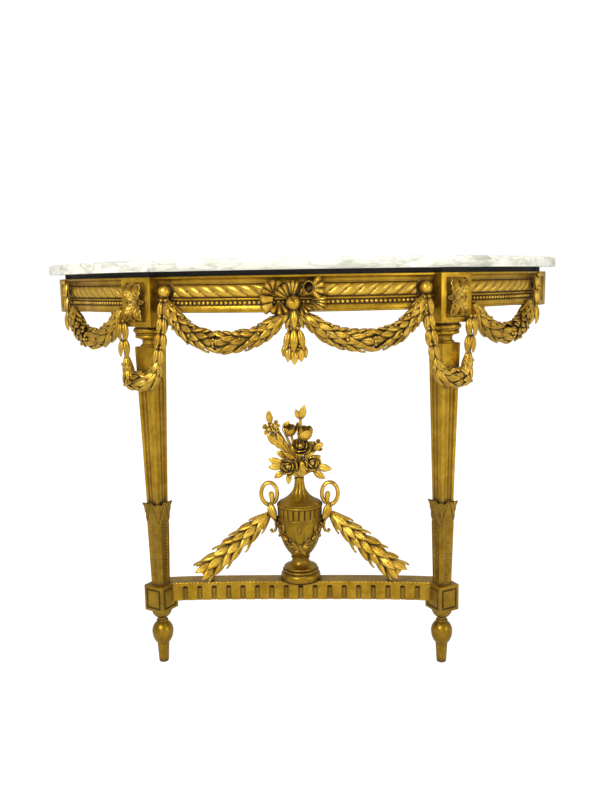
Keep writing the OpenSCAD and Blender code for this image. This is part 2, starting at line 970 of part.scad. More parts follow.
// Collar garlands: a chain down from the ball, a loop before the leg and a chain
// down from the outer corner of the block, with the lowest point off to that side
collar_points = 14;
collar_off = 12;
collar_rise = 12;
function collar_u(i) = 2 * i / collar_points - 1;
module collar_garland(side) {
    thin_r = core_r * slim_share * 0.8;
    ball_turn = leg_angle - ball_angle;
    ball_y = leg_r - frieze_r * cos(ball_turn);
    inner_top = [-side * frieze_r * sin(ball_turn), ball_y - ball_d * 0.6, frieze_mid - ball_d * 0.4];
    outer_top = [side * (block_w / 2 - thin_r), -block_w / 2 - thin_r - slip, block_bottom + collar_rise];
    mid = [side * collar_off, -shaft_top_w / 2 - core_r * 0.9, collar_low_z];
    ends = [for (i = [0:collar_points]) collar_u(i) < 0 ? inner_top : outer_top];
    path = [for (i = [0:collar_points])
        let (s = abs(collar_u(i)), e = ends[i])
        [mix(mid[0], e[0], pow(s, 0.4)), mix(mid[1], e[1], s), mix(mid[2], e[2], pow(s, 2.2))]];
    outs = [for (i = [0:collar_points]) unit([path[i][0] * 0.5, -block_w / 2, 0])];
    color(gold)
        at_leg(side)
            garland(path, outs, [for (i = [0:collar_points])
                mix(thin_r, core_r * 0.95, pow(sin(half_turn * i / collar_points), 3))], 0.5, 0.82);
}

module left_collar_garland() {
    collar_garland(-1);
}

module right_collar_garland() {
    collar_garland(1);
}

// Ribbon bow: fans of pleats, which widen from a ball knot. For each fan, the
// turn of its middle, its reach and its spread, the last two as shares
bow_fan_shares = [[158, 1, 1.1], [202, 0.8, 0.9], [250, 0.62, 0.7],
    [22, 1, 1.1], [-22, 0.8, 0.9], [-70, 0.62, 0.7]];
bow_pleats = 3;
knot_d = 30;
bow_z = frieze_bottom + (frieze_h - ball_d) / 2 + knot_d / 4;
module ribbon_bow() {
    back = -twist_out - slip;
    color(bright_gold)
        on_bow(0, frieze_r, bow_z) {
            translate([0, back - knot_d * 0.45, 0])
                hull()
                    sphere(d = knot_d, $fn = 10);
            for (fan = bow_fan_shares)
                for (k = [0:bow_pleats - 1]) {
                    spread = bow_h * 0.46 * fan[2];
                    offset = mix(-spread, spread, (k + 0.5) / bow_pleats) / 2;
                    translate([0, back, 0])
                        rotate([90, 0, 0])
                            rotate([0, 0, fan[0]])
                                pleat(bow_w / 2 * fan[1], spread / bow_pleats, offset);
                }
        }
}

// One pleat of a fan: a ridge from the knot out to its end at the given offset
module pleat(reach, wide, offset) {
    hull() {
        translate([knot_d * 0.3, -wide * 0.2, 0])
            cube([past, wide * 0.4, leaf_t]);
        translate([reach * 0.72, offset - wide * 0.6, 0])
            cube([past, wide * 1.2, leaf_t * 1.6]);
        translate([reach - past, offset - wide * 0.45, 0])
            cube([past, wide * 0.9, leaf_t * 0.6]);
    }
}
// Three tiers of leaves under the bow: a fan, then two rows of three
pendant_tiers = 3;
module leaf_pendant() {
    top_z = bow_z - bow_h * 0.45;
    low_z = top_z - pendant_l + leaf_l;
    y = -core_r;
    color(bright_gold)
        on_bow(0, frieze_r, 0) {
            tube([[0, y, top_z + leaf_l * 0.4], [0, y, low_z - leaf_l * 0.2]], [core_r * 0.5, core_r * 0.7],
                [[0, -1, 0], [0, -1, 0]], garland_sides);
            for (i = [0:pendant_tiers - 1]) {
                z = mix(top_z, low_z, i / (pendant_tiers - 1));
                fan = i == 0 ? 34 : 17;
                for (k = [-1, 0, 1])
                    facing([k * leaf_w * 0.4, y - core_r * (0.4 - abs(k) * 0.25), z],
                        [sin(k * fan), -0.12, -cos(k * fan)], [0, -1, 0])
                        leaf(leaf_l, leaf_w * 1.1, leaf_t);
                for (k = [-1, 1])
                    facing([k * leaf_w * 0.3, y, z + leaf_l * 0.25],
                        [sin(k * fan * 1.6), 0, -cos(k * fan * 1.6)], [0, -1, 0])
                        leaf(leaf_l * 0.9, leaf_w, leaf_t);
            }
        }
}

// Stretcher between the lower blocks, hollow towards the front, with flutes that
// run out at its lower edge
stretcher_y = leg_y + stretcher_in - stretcher_d / 2 + stretcher_bow;
function stretcher_front(x) = stretcher_y - stretcher_bow * pow(abs(x) / leg_x, 3);
module stretcher_plan() {
    n = 40;
    reach = leg_x;
    front = [for (i = [0:n]) let (x = mix(-reach, reach, i / n)) [x, stretcher_front(x)]];
    back = [for (i = [n:-1:0]) let (x = mix(-reach, reach, i / n)) [x, stretcher_front(x) + stretcher_d]];
    polygon(concat(front, back));
}

module stretcher() {
    flute_r = stretcher_flute_w / 2;
    sunk = sqrt(flute_r * flute_r - pow(flute_r - stretcher_flute_sink, 2));
    span = leg_x * 0.86;
    z0 = lower_block_top - stretcher_h;
    flute_l = stretcher_h - stretcher_flute_top + past;
    color(gold)
        difference() {
            translate([0, 0, z0])
                linear_extrude(stretcher_h)
                    stretcher_plan();
            for (side = [-1, 1])
                at_leg(side)
                    translate([0, 0, foot_h - past])
                        post(lower_block_w, lower_block_w, lower_block_h + past * 2);
            for (i = [0:stretcher_flutes - 1]) {
                x = mix(-span, span, i / (stretcher_flutes - 1));
                translate([x, stretcher_front(x) - flute_r + stretcher_flute_sink, z0 - past]) {
                    cylinder(r = flute_r, h = flute_l - sunk, $fn = round_fn);
                    translate([0, 0, flute_l - sunk])
                        sphere(r = flute_r, $fn = round_fn);
                }
            }
        }
}

// Urn on the middle of the stretcher
urn_y = stretcher_y + stretcher_d / 2;
bowl_z = lower_block_top + urn_foot_h + urn_stem_h;
band_z = bowl_z + urn_bowl_h;
lid_z = band_z + urn_band_h;
lid_edge = 3;
module at_urn(z) {
    translate([0, urn_y, z])
        children();
}

module urn() {
    edge = 7;
    foot_r = urn_foot_d / 2;
    stem_r = urn_stem_d / 2;
    lip = 3;
    bowl_turn = acos(stem_r / (urn_bowl_d / 2));
    color(gold)
        at_urn(0)
            rotate_extrude($fn = round_fn)
                polygon(concat(
                    [[0, lower_block_top], [foot_r, lower_block_top], [foot_r, lower_block_top + edge]],
                    arc_points(foot_r - edge, lower_block_top + edge * 2, edge, edge, -70, 80, 6),
                    arc_points(foot_r - edge * 2, lower_block_top + edge * 3.6, edge, edge * 0.7, -60, 80, 5),
                    arc_points(foot_r - edge * 2, bowl_z, foot_r - edge * 2 - stem_r, edge * 2,
                        250, half_turn, 5),
                    arc_points(0, band_z, urn_bowl_d / 2, urn_bowl_h / sin(bowl_turn), -bowl_turn, 0, 12),
                    [[urn_rim_d / 2 - lip / 2, band_z], [urn_rim_d / 2 - lip / 2, band_z + lip]],
                    [[urn_rim_d / 2 - lip * 1.3, band_z + lip * 1.3],
                        [urn_rim_d / 2 - lip * 1.3, lid_z - lip * 1.3]],
                    [[urn_rim_d / 2, lid_z - lip], [urn_rim_d / 2, lid_z], [0, lid_z]]));
}

// Lid: a cone with a hollow curve, up to the neck that holds the flowers
module urn_lid() {
    r0 = urn_rim_d / 2 - past;
    r1 = urn_neck_d / 2;
    color(gold)
        at_urn(0)
            rotate_extrude($fn = round_fn)
                polygon(concat([[0, lid_z], [r0, lid_z]],
                    [for (i = [0:10]) let (t = i / 10)
                        [r1 + (r0 - r1) * pow(1 - t, 2.6), lid_z + lid_edge + (urn_lid_h - lid_edge) * t]],
                    [[0, lid_z + urn_lid_h]]));
}

// Handles: a loop with a small scroll inside and a curl below
curl_r = 8;
module handle(side) {
    turns = 24;
    bends = 6;
    cx = urn_rim_d / 2 + handle_w / 2 - handle_t * 0.75;
    cz = lid_z + handle_h * 0.36;
    rx = handle_w / 2 - handle_t / 2;
    rz = handle_h / 2 - handle_t / 2;
    low = lid_z - handle_h * 0.95;
    foot_x = urn_rim_d / 2 + handle_t / 2;
    loop_end = -70;
    loop = [for (i = [0:turns])
        let (a = mix(300, loop_end, i / turns), s = mix(0.42, 1, min(1, i / turns / 0.45)))
        [side * (cx + rx * s * cos(a)), urn_y, cz + rz * s * sin(a)]];
    end_x = cx + rx * cos(loop_end);
    end_z = cz + rz * sin(loop_end);
    tail = [for (i = [1:bends]) let (t = i / bends)
        [side * mix(end_x, foot_x, pow(t, 0.8)), urn_y, mix(end_z, low, t)]];
    curl = [for (i = [1:bends]) let (a = mix(half_turn, 400, i / bends))
        [side * (foot_x + curl_r + curl_r * cos(a)), urn_y, low + curl_r * sin(a)]];
    path = concat(loop, tail, curl);
    last = len(path) - 1;
    color(bright_gold)
        difference() {
            union() {
                tube(path, [for (i = [0:last]) handle_t / 2 * mix(0.8, 1, sin(half_turn * i / last))],
                    [for (i = [0:last]) [0, -1, 0]], garland_sides);
                translate([side * (urn_rim_d / 2 + handle_t), urn_y, band_z + urn_band_h * 0.3])
                    rotate([0, side * 14, 0])
                        post(handle_t * 2.6, handle_t * 2, urn_band_h * 0.6);
            }
            at_urn(bowl_z)
                cylinder(r = urn_rim_d / 2 + slip, h = lid_z - bowl_z + lid_edge + slip, $fn = round_fn);
        }
}

module left_handle() {
    handle(-1);
}

module right_handle() {
    handle(1);
}

// Bouquet on the lid's neck: stems, seven blossoms and leaves. Blossoms have
// their place and diameter, leaves their place and turn, as shares of its height
bouquet_z = lid_z + urn_lid_h;
blossom_shares = [[-0.15, -0.1, 0.18, 0.18], [0.18, -0.1, 0.21, 0.17], [0.02, -0.12, 0.45, 0.16],
    [-0.11, -0.04, 0.68, 0.13], [0.085, -0.06, 0.63, 0.15], [-0.39, -0.02, 0.7, 0.12],
    [0.04, 0.13, 0.35, 0.17]];
bouquet_leaf_shares = [[-0.21, -0.04, 0.15, -200], [0.21, -0.04, 0.13, -20], [0.18, 0, 0.4, 20],
    [-0.26, -0.02, 0.48, 150], [-0.07, 0, 0.43, 130], [0.02, 0, 0.72, 82], [0.05, 0, 0.72, 60],
    [-0.12, 0.06, 0.12, 200], [0.12, 0.07, 0.15, -10]];
module flower_bouquet() {
    sink = leaf_l * 0.11;
    color(bright_gold)
        at_urn(bouquet_z) {
            for (b = blossom_shares) {
                at = [b[0], b[1], b[2]] * bouquet_h;
                hull()
                    translate(at)
                        sphere(d = b[3] * bouquet_h, $fn = 7);
                stem([0, 0, 0], at);
            }
            for (l = bouquet_leaf_shares) {
                at = [l[0], l[1], l[2]] * bouquet_h;
                fore = [cos(l[3]), 0, sin(l[3])];
                stem([0, 0, 0], at);
                facing(at - fore * sink, fore, [0, -1, 0])
                    leaf(leaf_l, leaf_w, leaf_t);
            }
        }
}

// A stem that leaves the neck upwards and bends towards its end
stem_r = 3.4;
module stem(from, to) {
    n = 2;
    path = [for (i = [0:n])
        let (t = i / n)
        [mix(from[0], to[0], t * t), mix(from[1], to[1], t * t), mix(from[2], to[2], t)]];
    tube(path, [for (i = [0:n]) stem_r], [for (i = [0:n]) [0, -1, 0]], 4);
}

// Garlands that fall from the handles to the stretcher
module urn_garland(side) {
    n = 7;
    reach = leg_x - urn_garland_gap;
    top = [side * (urn_rim_d / 2 + handle_t * 1.75), urn_y, lid_z - urn_band_h * 0.7];
    low_y = mix(urn_y, stretcher_front(reach) + stretcher_d / 2, 0.8);
    low = [side * reach, low_y, lower_block_top + core_r * 1.2];
    path = [for (i = [0:n]) let (t = i / n)
        [mix(top[0], low[0], t), mix(top[1], low[1], t), mix(top[2], low[2], pow(t, 0.92))]];
    outs = [for (i = [0:n]) unit([side * 0.5, -1, 0.6])];
    color(bright_gold)
        intersection() {
            garland(path, outs, [for (i = [0:n]) core_r * mix(0.7, 1.15, sin(half_turn * i / n))], 2, 1.15);
            translate([-table_w, -table_d, lower_block_top])
                cube([table_w * 2, table_d * 2, table_h]);
        }
}

module left_urn_garland() {
    urn_garland(-1);
}

module right_urn_garland() {
    urn_garland(1);
}

marble_top();
top_frame();
front_rail();
left_side_rail();
right_side_rail();
back_rail();
cross_batten();
left_rear_block();
right_rear_block();
left_leg_block();
right_leg_block();
left_leg();
right_leg();
left_lower_block();
right_lower_block();
left_foot();
right_foot();
front_twist();
left_side_twist();
right_side_twist();
front_beads();
left_side_beads();
right_side_beads();
left_rosette();
right_rosette();
left_ball();
right_ball();
left_front_swag();
right_front_swag();
left_side_swag();
right_side_swag();
left_tassel();
right_tassel();
left_collar_garland();
right_collar_garland();
ribbon_bow();
leaf_pendant();
stretcher();
urn();
urn_lid();
left_handle();
right_handle();
flower_bouquet();
left_urn_garland();
right_urn_garland();
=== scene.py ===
"""Demilune console table of worn gilt wood with a loose marble top.

Metres, +Z up, the front faces -Y. The carcass, the marble and every carved
piece take their places from the frame and from the plan values below.
"""

import bisect
import math
import random

import bmesh
import bpy
from mathutils import Matrix, Vector

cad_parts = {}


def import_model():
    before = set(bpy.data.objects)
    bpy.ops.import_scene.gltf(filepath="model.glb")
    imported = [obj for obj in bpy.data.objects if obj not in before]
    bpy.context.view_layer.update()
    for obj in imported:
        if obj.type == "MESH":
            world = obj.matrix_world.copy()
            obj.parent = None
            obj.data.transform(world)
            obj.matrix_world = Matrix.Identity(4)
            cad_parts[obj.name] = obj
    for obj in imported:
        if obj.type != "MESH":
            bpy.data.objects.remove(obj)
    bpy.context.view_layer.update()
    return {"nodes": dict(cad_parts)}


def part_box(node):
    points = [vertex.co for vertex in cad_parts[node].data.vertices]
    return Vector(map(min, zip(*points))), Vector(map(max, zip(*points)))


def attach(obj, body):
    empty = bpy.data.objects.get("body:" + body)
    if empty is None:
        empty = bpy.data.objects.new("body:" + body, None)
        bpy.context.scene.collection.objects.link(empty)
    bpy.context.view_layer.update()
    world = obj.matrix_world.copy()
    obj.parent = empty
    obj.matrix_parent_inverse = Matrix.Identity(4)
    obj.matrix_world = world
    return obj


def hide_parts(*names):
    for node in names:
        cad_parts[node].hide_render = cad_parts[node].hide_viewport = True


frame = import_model()

# Plan of the bow, which the marble's box and these sizes give
END_STRAIGHT = 0.0285
MARBLE_OVER = 0.030
MOULD_OUT = 0.012
RAIL_T = 0.030
LOWER_OUT = 0.007
LEG_TURN = 30.0
BALL_TURN = 24.2
DROP_TURN = 56.6
REAR_TURN = 60.5
SIDE_FROM = 33.9
SIDE_TO = 58.5
OUT = Vector((0, -1, 0))
UP = Vector((0, 0, 1))


def middle(node):
    """Middle of a node's box."""
    low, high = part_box(node)
    return (low + high) / 2


def heights(node):
    """Lowest and highest point of a node."""
    low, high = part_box(node)
    return low.z, high.z


MARBLE_LOW, MARBLE_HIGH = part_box("marble_top")
TABLE_W = MARBLE_HIGH.x - MARBLE_LOW.x
TABLE_D = MARBLE_HIGH.y - MARBLE_LOW.y
BOW_RISE = TABLE_D - END_STRAIGHT
MARBLE_R = (TABLE_W ** 2 / 4 + BOW_RISE ** 2) / BOW_RISE / 2
ARC_Y = MARBLE_R - TABLE_D / 2
FRIEZE_R = MARBLE_R - MARBLE_OVER - MOULD_OUT
RAIL_BOTTOM, RAIL_TOP = heights("front_rail")
BLOCK_BOTTOM = heights("left_leg_block")[0]
FRIEZE_MID = middle("front_twist").z
BEAD_MID = middle("front_beads").z
LEG_X = middle("right_foot").x
LEG_Y = middle("right_foot").y
FOOT_TOP, LOWER_BLOCK_TOP = heights("left_lower_block")
URN_Y = middle("urn").y
LID_Z = heights("urn_lid")[0]
NECK_Z = heights("urn_lid")[1]
BLOCK_W = 0.076
BALL_D = 0.026


# Places

def mix(a, b, share):
    """Value between a and b."""
    return a + (b - a) * share


def bow_point(turn, radius, z):
    """Point on the bow at a turn in degrees from its middle."""
    a = math.radians(turn)
    return Vector((radius * math.sin(a), ARC_Y - radius * math.cos(a), z))


def way_out(turn):
    """Level way out at a turn in degrees from the front."""
    a = math.radians(turn)
    return Vector((math.sin(a), -math.cos(a), 0))


def on_bow(turn, radius, z):
    """Place on the bow, with -Y as the way out."""
    return Matrix.Translation(bow_point(turn, radius, z)) @ Matrix.Rotation(math.radians(turn), 4, "Z")


def at_leg(side):
    """Place on a leg's axis, with the leg's front towards -Y."""
    turn = Matrix.Rotation(math.radians(side * LEG_TURN), 4, "Z")
    return Matrix.Translation((side * LEG_X, LEG_Y, 0)) @ turn


def facing(at, fore, up, size=1.0):
    """Place with +X along fore and +Z as near to up as it can be."""
    x = fore.normalized()
    z = (up - x * up.dot(x)).normalized()
    place = Matrix((x, z.cross(x), z)).transposed().to_4x4()
    place.translation = at
    return place @ Matrix.Scale(size, 4)


# Pieces

SIDES = {"left": -1, "right": 1}
SHARP = math.radians(38)
ARRIS = math.radians(35)
NEARLY_FLAT = math.radians(0.5)
MERGE = 0.00002
ROUND_STEPS = 48


def bell(x, width):
    """1 in the middle, falling softly to 0 on both sides of it."""
    return math.exp(-(x / width) ** 2)


def hump(share, power=1.0):
    """0 at both ends of a share and 1 in its middle."""
    return max(0.0, math.sin(math.pi * share)) ** power


def clamp(x):
    """A value kept between 0 and 1."""
    return min(1.0, max(0.0, x))


def soft_step(x):
    """A soft step from 0 up to 1."""
    return 1 / (1 + math.exp(-x))


def blank_form(bm, name):
    """Mesh from a finished bmesh, with smooth faces."""
    bmesh.ops.remove_doubles(bm, verts=bm.verts[:], dist=MERGE)
    bmesh.ops.recalc_face_normals(bm, faces=bm.faces[:])
    for face in bm.faces:
        face.smooth = True
    mesh = bpy.data.meshes.new(name)
    bm.to_mesh(mesh)
    bm.free()
    return mesh


def add_form(bm, form, place):
    """Adds a copy of a form to a piece."""
    copy = form.copy()
    copy.transform(place)
    bm.from_mesh(copy)
    bpy.data.meshes.remove(copy)


def finish_piece(name, bm, material, stands_for=(), body="frame", sharp=SHARP):
    """Puts a piece on its body, with its finish, in place of its nodes."""
    mesh = bpy.data.meshes.new(name)
    for face in bm.faces:
        face.smooth = True
    bm.to_mesh(mesh)
    bm.free()
    mesh.set_sharp_from_angle(angle=sharp)
    mesh.materials.append(material)
    piece = bpy.data.objects.new(name, mesh)
    bpy.context.scene.collection.objects.link(piece)
    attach(piece, body)
    if stands_for:
        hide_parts(*stands_for)
    return piece


def merged_copy(node):
    """A node's own shape as one closed bmesh with whole faces."""
    bm = bmesh.new()
    bm.from_mesh(frame["nodes"][node].data)
    bmesh.ops.remove_doubles(bm, verts=bm.verts[:], dist=MERGE)
    bmesh.ops.dissolve_limit(bm, angle_limit=NEARLY_FLAT, verts=bm.verts[:], edges=bm.edges[:])
    return bm


def soften(bm, width, least=ARRIS, segments=2):
    """Rounds the arrises of a piece."""
    arrises = [e for e in bm.edges if len(e.link_faces) == 2 and e.calc_face_angle() > least]
    bmesh.ops.bevel(bm, geom=arrises, offset=width, offset_type="OFFSET", segments=segments,
                    profile=0.5, affect="EDGES", clamp_overlap=True, material=-1)


def loft(bm, sections):
    """Adds a closed body through sections that all have the same number of points."""
    cap = bm.faces.new([bm.verts.new(p) for p in sections[0]])
    before = sections[0]
    for i, points in enumerate(sections[1:]):
        if i == 0:
            made = bmesh.ops.extrude_face_region(bm, geom=[cap])
            cap = next(g for g in made["geom"] if isinstance(g, bmesh.types.BMFace))
        else:
            cap = bmesh.ops.extrude_discrete_faces(bm, faces=[cap])["faces"][0]
        places = {Vector(p).to_tuple(6): k for k, p in enumerate(before)}
        for v in cap.verts:
            v.co = points[places[v.co.to_tuple(6)]]
        before = [Vector(p) for p in points]


def tube(bm, path, radii, first_side, sides=10, flat=1.0):
    """Adds a closed tube along a path; flat scales its second half-width."""
    side = first_side
    sections = []
    for i, (at, radius) in enumerate(zip(path, radii)):
        ahead = (path[min(i + 1, len(path) - 1)] - path[max(i - 1, 0)]).normalized()
        side = (side - ahead * side.dot(ahead)).normalized()
        second = ahead.cross(side) * flat
        turns = [2 * math.pi * k / sides for k in range(sides)]
        sections.append([at + (side * math.cos(a) + second * math.sin(a)) * radius for a in turns])
    loft(bm, sections)


def turned(bm, profile, steps, place=None):
    """Adds a turned form from a profile of radius and height, and gives its points."""
    own = bmesh.new()
    verts = [own.verts.new((r, 0, z)) for r, z in profile]
    edges = [own.edges.new(pair) for pair in zip(verts, verts[1:])]
    bmesh.ops.spin(own, geom=verts + edges, cent=(0, 0, 0), axis=(0, 0, 1), angle=2 * math.pi,
                   steps=steps, use_merge=True)
    mesh = blank_form(own, "turned")
    before = len(bm.verts)
    add_form(bm, mesh, place or Matrix())
    bpy.data.meshes.remove(mesh)
    bm.verts.ensure_lookup_table()
    return bm.verts[before:]


def arc(cx, cz, rx, rz, a0, a1, n):
    """Points of an elliptic arc between two angles in degrees."""
    turns = [math.radians(mix(a0, a1, i / n)) for i in range(n + 1)]
    return [(cx + rx * math.cos(a), cz + rz * math.sin(a)) for a in turns]


# Carved forms

LEAF_T = 0.0050
LEAF_BELLY = 0.9
LEAF_FULLNESS = 0.75
LEAF_WALL_SHARE = 0.5
LEAF_CREASE_SHARE = 0.17
BERRY_R = 0.0033


def shaped_sheet(name, cells, wall, place, pointed=True):
    """Mesh of a curved sheet with a wall; place gives a point for two shares of the sheet.
    The points that meet in the tips of a pointed sheet become one before it gets its wall."""
    bm = bmesh.new()
    bmesh.ops.create_grid(bm, x_segments=cells[0], y_segments=cells[1], size=0.5)
    for v in bm.verts:
        v.co = place(v.co.x + 0.5, v.co.y + 0.5)
    if pointed:
        bmesh.ops.remove_doubles(bm, verts=bm.verts[:], dist=MERGE)
    bmesh.ops.recalc_face_normals(bm, faces=bm.faces[:])
    bmesh.ops.solidify(bm, geom=bm.faces[:], thickness=wall)
    return blank_form(bm, name)


def leaf_form(name, length, width, thick, arch=0.06, crease=0.3, cells=(12, 10)):
    """A laurel leaf along +X from its root: two swelling halves with a crease between them."""
    def place(u, t):
        across = 2 * t - 1
        half = width / 2 * hump(u ** LEAF_BELLY, LEAF_FULLNESS)
        swell = max(0.0, 1 - across ** 2) ** 0.5 - crease * bell(across, LEAF_CREASE_SHARE)
        return length * u, half * across, thick * swell * hump(u, 0.5) + arch * length * hump(u * LEAF_BELLY)
    return shaped_sheet(name, cells, thick * LEAF_WALL_SHARE, place)


def berry_form():
    """A berry of unit radius."""
    bm = bmesh.new()
    bmesh.ops.create_icosphere(bm, subdivisions=2, radius=1)
    return blank_form(bm, "berry")


LAUREL = leaf_form("laurel", length=0.040, width=0.0138, thick=LEAF_T, arch=0.02)
SLIM = leaf_form("slim_laurel", length=0.037, width=0.0135, thick=0.0036, arch=0.05)
SMALL = leaf_form("small_laurel", length=0.034, width=0.0128, thick=0.0044, arch=0.02)
BROAD = leaf_form("broad_laurel", length=0.048, width=0.0185, thick=0.0052, arch=0.02)
SPRAY = leaf_form("spray_laurel", length=0.036, width=0.0175, thick=0.0036)
LONG = leaf_form("long_laurel", length=0.046, width=0.0160, thick=0.0040)
DROP = leaf_form("drop_laurel", length=0.040, width=0.0180, thick=0.0042)
PETAL_LEAF = leaf_form("petal_leaf", length=0.020, width=0.0088, thick=0.0026, cells=(8, 6))
BERRY = berry_form()

ACANTHUS_L = 0.041
ACANTHUS_W = 0.022
ACANTHUS_WALL = 0.0018
ACANTHUS_BASE = 0.0012
ACANTHUS_ARCH = 0.0050
ACANTHUS_DISH = 0.0016
ACANTHUS_RIB = 0.0022
ACANTHUS_CELLS = (40, 20)
LOBES = 4
FIRST_LOBE_SHARE = 0.25
NOTCH_SHARE = 0.34
ROOT_W_SHARE = 0.35
RIB_SLANT_SHARE = 0.7
VEIN_SHARE = 0.15


def acanthus_half(u):
    """Half the lobed leaf's width at a share of its length."""
    lobe = abs(math.sin(math.pi * (u * LOBES + FIRST_LOBE_SHARE))) ** 0.6
    notched = 1 - NOTCH_SHARE * (1 - lobe) * (1 - u ** 3)
    belly = mix(ROOT_W_SHARE, 1, hump(min(1, u * 0.9 + 0.08), 0.8))
    return ACANTHUS_W / 2 * belly * notched * (1 - u ** 8)


def acanthus_point(u, t):
    """Point of a lobed leaf along +X, with slanting ribs and a sunk vein."""
    across = 2 * t - 1
    fold = abs(math.sin(math.pi * (u * LOBES + FIRST_LOBE_SHARE - abs(across) * RIB_SLANT_SHARE)))
    ribs = ACANTHUS_RIB * fold * abs(across) ** 0.4
    rise = ACANTHUS_ARCH * hump(u * 0.85) + ACANTHUS_DISH * (across ** 2 - bell(across, VEIN_SHARE))
    return ACANTHUS_L * u, acanthus_half(u) * across, ACANTHUS_BASE + rise + ribs


ACANTHUS = shaped_sheet("acanthus", ACANTHUS_CELLS, ACANTHUS_WALL, acanthus_point)


def add_berry(bm, at, radius=BERRY_R):
    """Adds one berry."""
    add_form(bm, BERRY, Matrix.Translation(at) @ Matrix.Scale(radius, 4))


# Garlands

FINE = 160
FULL_TURNS = ((0, 54, -54, 108, -108, 162, -162), (27, -27, 81, -81, 135, -135, 180))
BASKET_TURNS = ((0, 56, -56, 112, -112), (28, -28, 84, -84))
BERRY_TURNS = (-52, 4, 58)
CORE_STEPS = 24
CORE_SHARE = 0.8
ROOT_SHARE = 0.45
TIP_SHARE = 0.92
LAP_SHARE = 0.85
LEAST_BEND_R = 0.006
BERRY_SHARE = 1.08
BERRY_OVER_TIP_SHARE = 0.16
BERRY_SEAT_SHARE = 0.9
BIG_BERRY_SHARE = 1.1

# How far the carver's hand strays, in shares and in degrees
STEP_PLAY_SHARE = 0.12
TURN_PLAY = 6
SIZE_PLAY_SHARES = (0.92, 1.06)
SKEW_PLAY = 0.14
BERRY_TURN_PLAY = 10
BERRY_PLAY_SHARES = (0.9, 1.1)


def course(line):
    """Length of a line, and a function that gives at a distance the point, the ways ahead
    and out, and the radius. Beyond the ends the line goes on straight."""
    fine = [line(i / FINE) for i in range(FINE + 1)]
    far = [0.0]
    for a, b in zip(fine, fine[1:]):
        far.append(far[-1] + (b[0] - a[0]).length)
    ways = [(fine[min(i + 1, FINE)][0] - fine[max(i - 1, 0)][0]).normalized() for i in range(FINE + 1)]

    def at(distance):
        i = min(max(bisect.bisect_right(far, distance) - 1, 0), FINE - 1)
        share = (distance - far[i]) / (far[i + 1] - far[i])
        inside = min(1.0, max(0.0, share))
        a, b = fine[i], fine[i + 1]
        ahead = ways[i].lerp(ways[i + 1], inside).normalized()
        out = a[1].lerp(b[1], inside)
        out = (out - ahead * out.dot(ahead)).normalized()
        return a[0] + (b[0] - a[0]) * share, ahead, out, mix(a[2], b[2], inside)
    return far[-1], at


def wrap_leaf(bm, form, at, start, way, turn, size, skew, tip):
    """Adds a leaf that lies bent on a garland: its root at a distance along the line and a
    turn about it, its tip one way along the line and a little higher."""
    leaf = form.copy()
    reach = max(v.co.x for v in leaf.vertices)
    known = {}
    for v in leaf.vertices:
        key = round(v.co.x, 5)
        if key not in known:
            known[key] = at(start + way * v.co.x * size)
        point, ahead, out, radius = known[key]
        side = out.cross(ahead)
        deep = radius * (ROOT_SHARE + tip * v.co.x / reach)
        a = turn + (v.co.y * size) / max(deep, LEAST_BEND_R) + skew * v.co.x / reach
        v.co = point + (out * math.cos(a) + side * math.sin(a)) * (deep + v.co.z * size)
    bm.from_mesh(leaf)
    bpy.data.meshes.remove(leaf)


def berry_group(bm, at, distance, count, spread):
    """Berries on the outer side of a garland: one in the middle and the rest round it."""
    point, ahead, out, radius = at(distance)
    side = out.cross(ahead)
    add_berry(bm, point + out * (radius * BERRY_SHARE + LEAF_T + BERRY_R / 2), BERRY_R * BIG_BERRY_SHARE)
    seat = point + out * (radius * BERRY_SHARE + LEAF_T * BERRY_SEAT_SHARE)
    for k in range(count - 1):
        a = 2 * math.pi * k / (count - 1)
        add_berry(bm, seat + (ahead * math.cos(a) + side * math.sin(a)) * spread)


def ring_berries(bm, place, tip, dice):
    """Adds the berries between two rings of leaves, on the garland's outer side."""
    point, ahead, out, radius = place
    far = radius * min(BERRY_SHARE, tip + BERRY_OVER_TIP_SHARE) + LEAF_T * BERRY_SEAT_SHARE
    for turn in BERRY_TURNS:
        a = math.radians(turn + dice.uniform(-BERRY_TURN_PLAY, BERRY_TURN_PLAY))
        away = out * math.cos(a) + out.cross(ahead) * math.sin(a)
        add_berry(bm, point + away * far, BERRY_R * dice.uniform(*BERRY_PLAY_SHARES))


def add_core(bm, at, length, steps):
    """Adds the round core that the leaves of a garland or chain lie on."""
    places = [at(length * k / steps) for k in range(steps + 1)]
    tube(bm, [p[0] for p in places], [p[3] * CORE_SHARE for p in places], places[0][2])


def garland(bm, line, form, step, seed, turns=FULL_TURNS, meet=0.5, tip=TIP_SHARE):
    """A core with staggered rings of leaves, which point from both ends to the place
    where the share of the length is meet, and with berries between them."""
    dice = random.Random(seed)
    length, at = course(line)
    add_core(bm, at, length, CORE_STEPS)
    lap = max(v.co.x for v in form.vertices) * LAP_SHARE
    for way, start, run in ((1, 0.0, length * meet), (-1, length, length * (1 - meet))):
        rings = round((run - lap) / step)
        for k in range(rings + 1):
            begin = start + way * (run - lap) * k / max(1, rings)
            for turn in turns[k % 2]:
                root = begin + dice.uniform(-1, 1) * step * STEP_PLAY_SHARE
                about = math.radians(turn + dice.uniform(-TURN_PLAY, TURN_PLAY))
                size = dice.uniform(*SIZE_PLAY_SHARES)
                wrap_leaf(bm, form, at, root, way, about, size, dice.uniform(-SKEW_PLAY, SKEW_PLAY), tip)
            if k % 2 == 1:
                ring_berries(bm, at(begin), tip, dice)
    return length, at


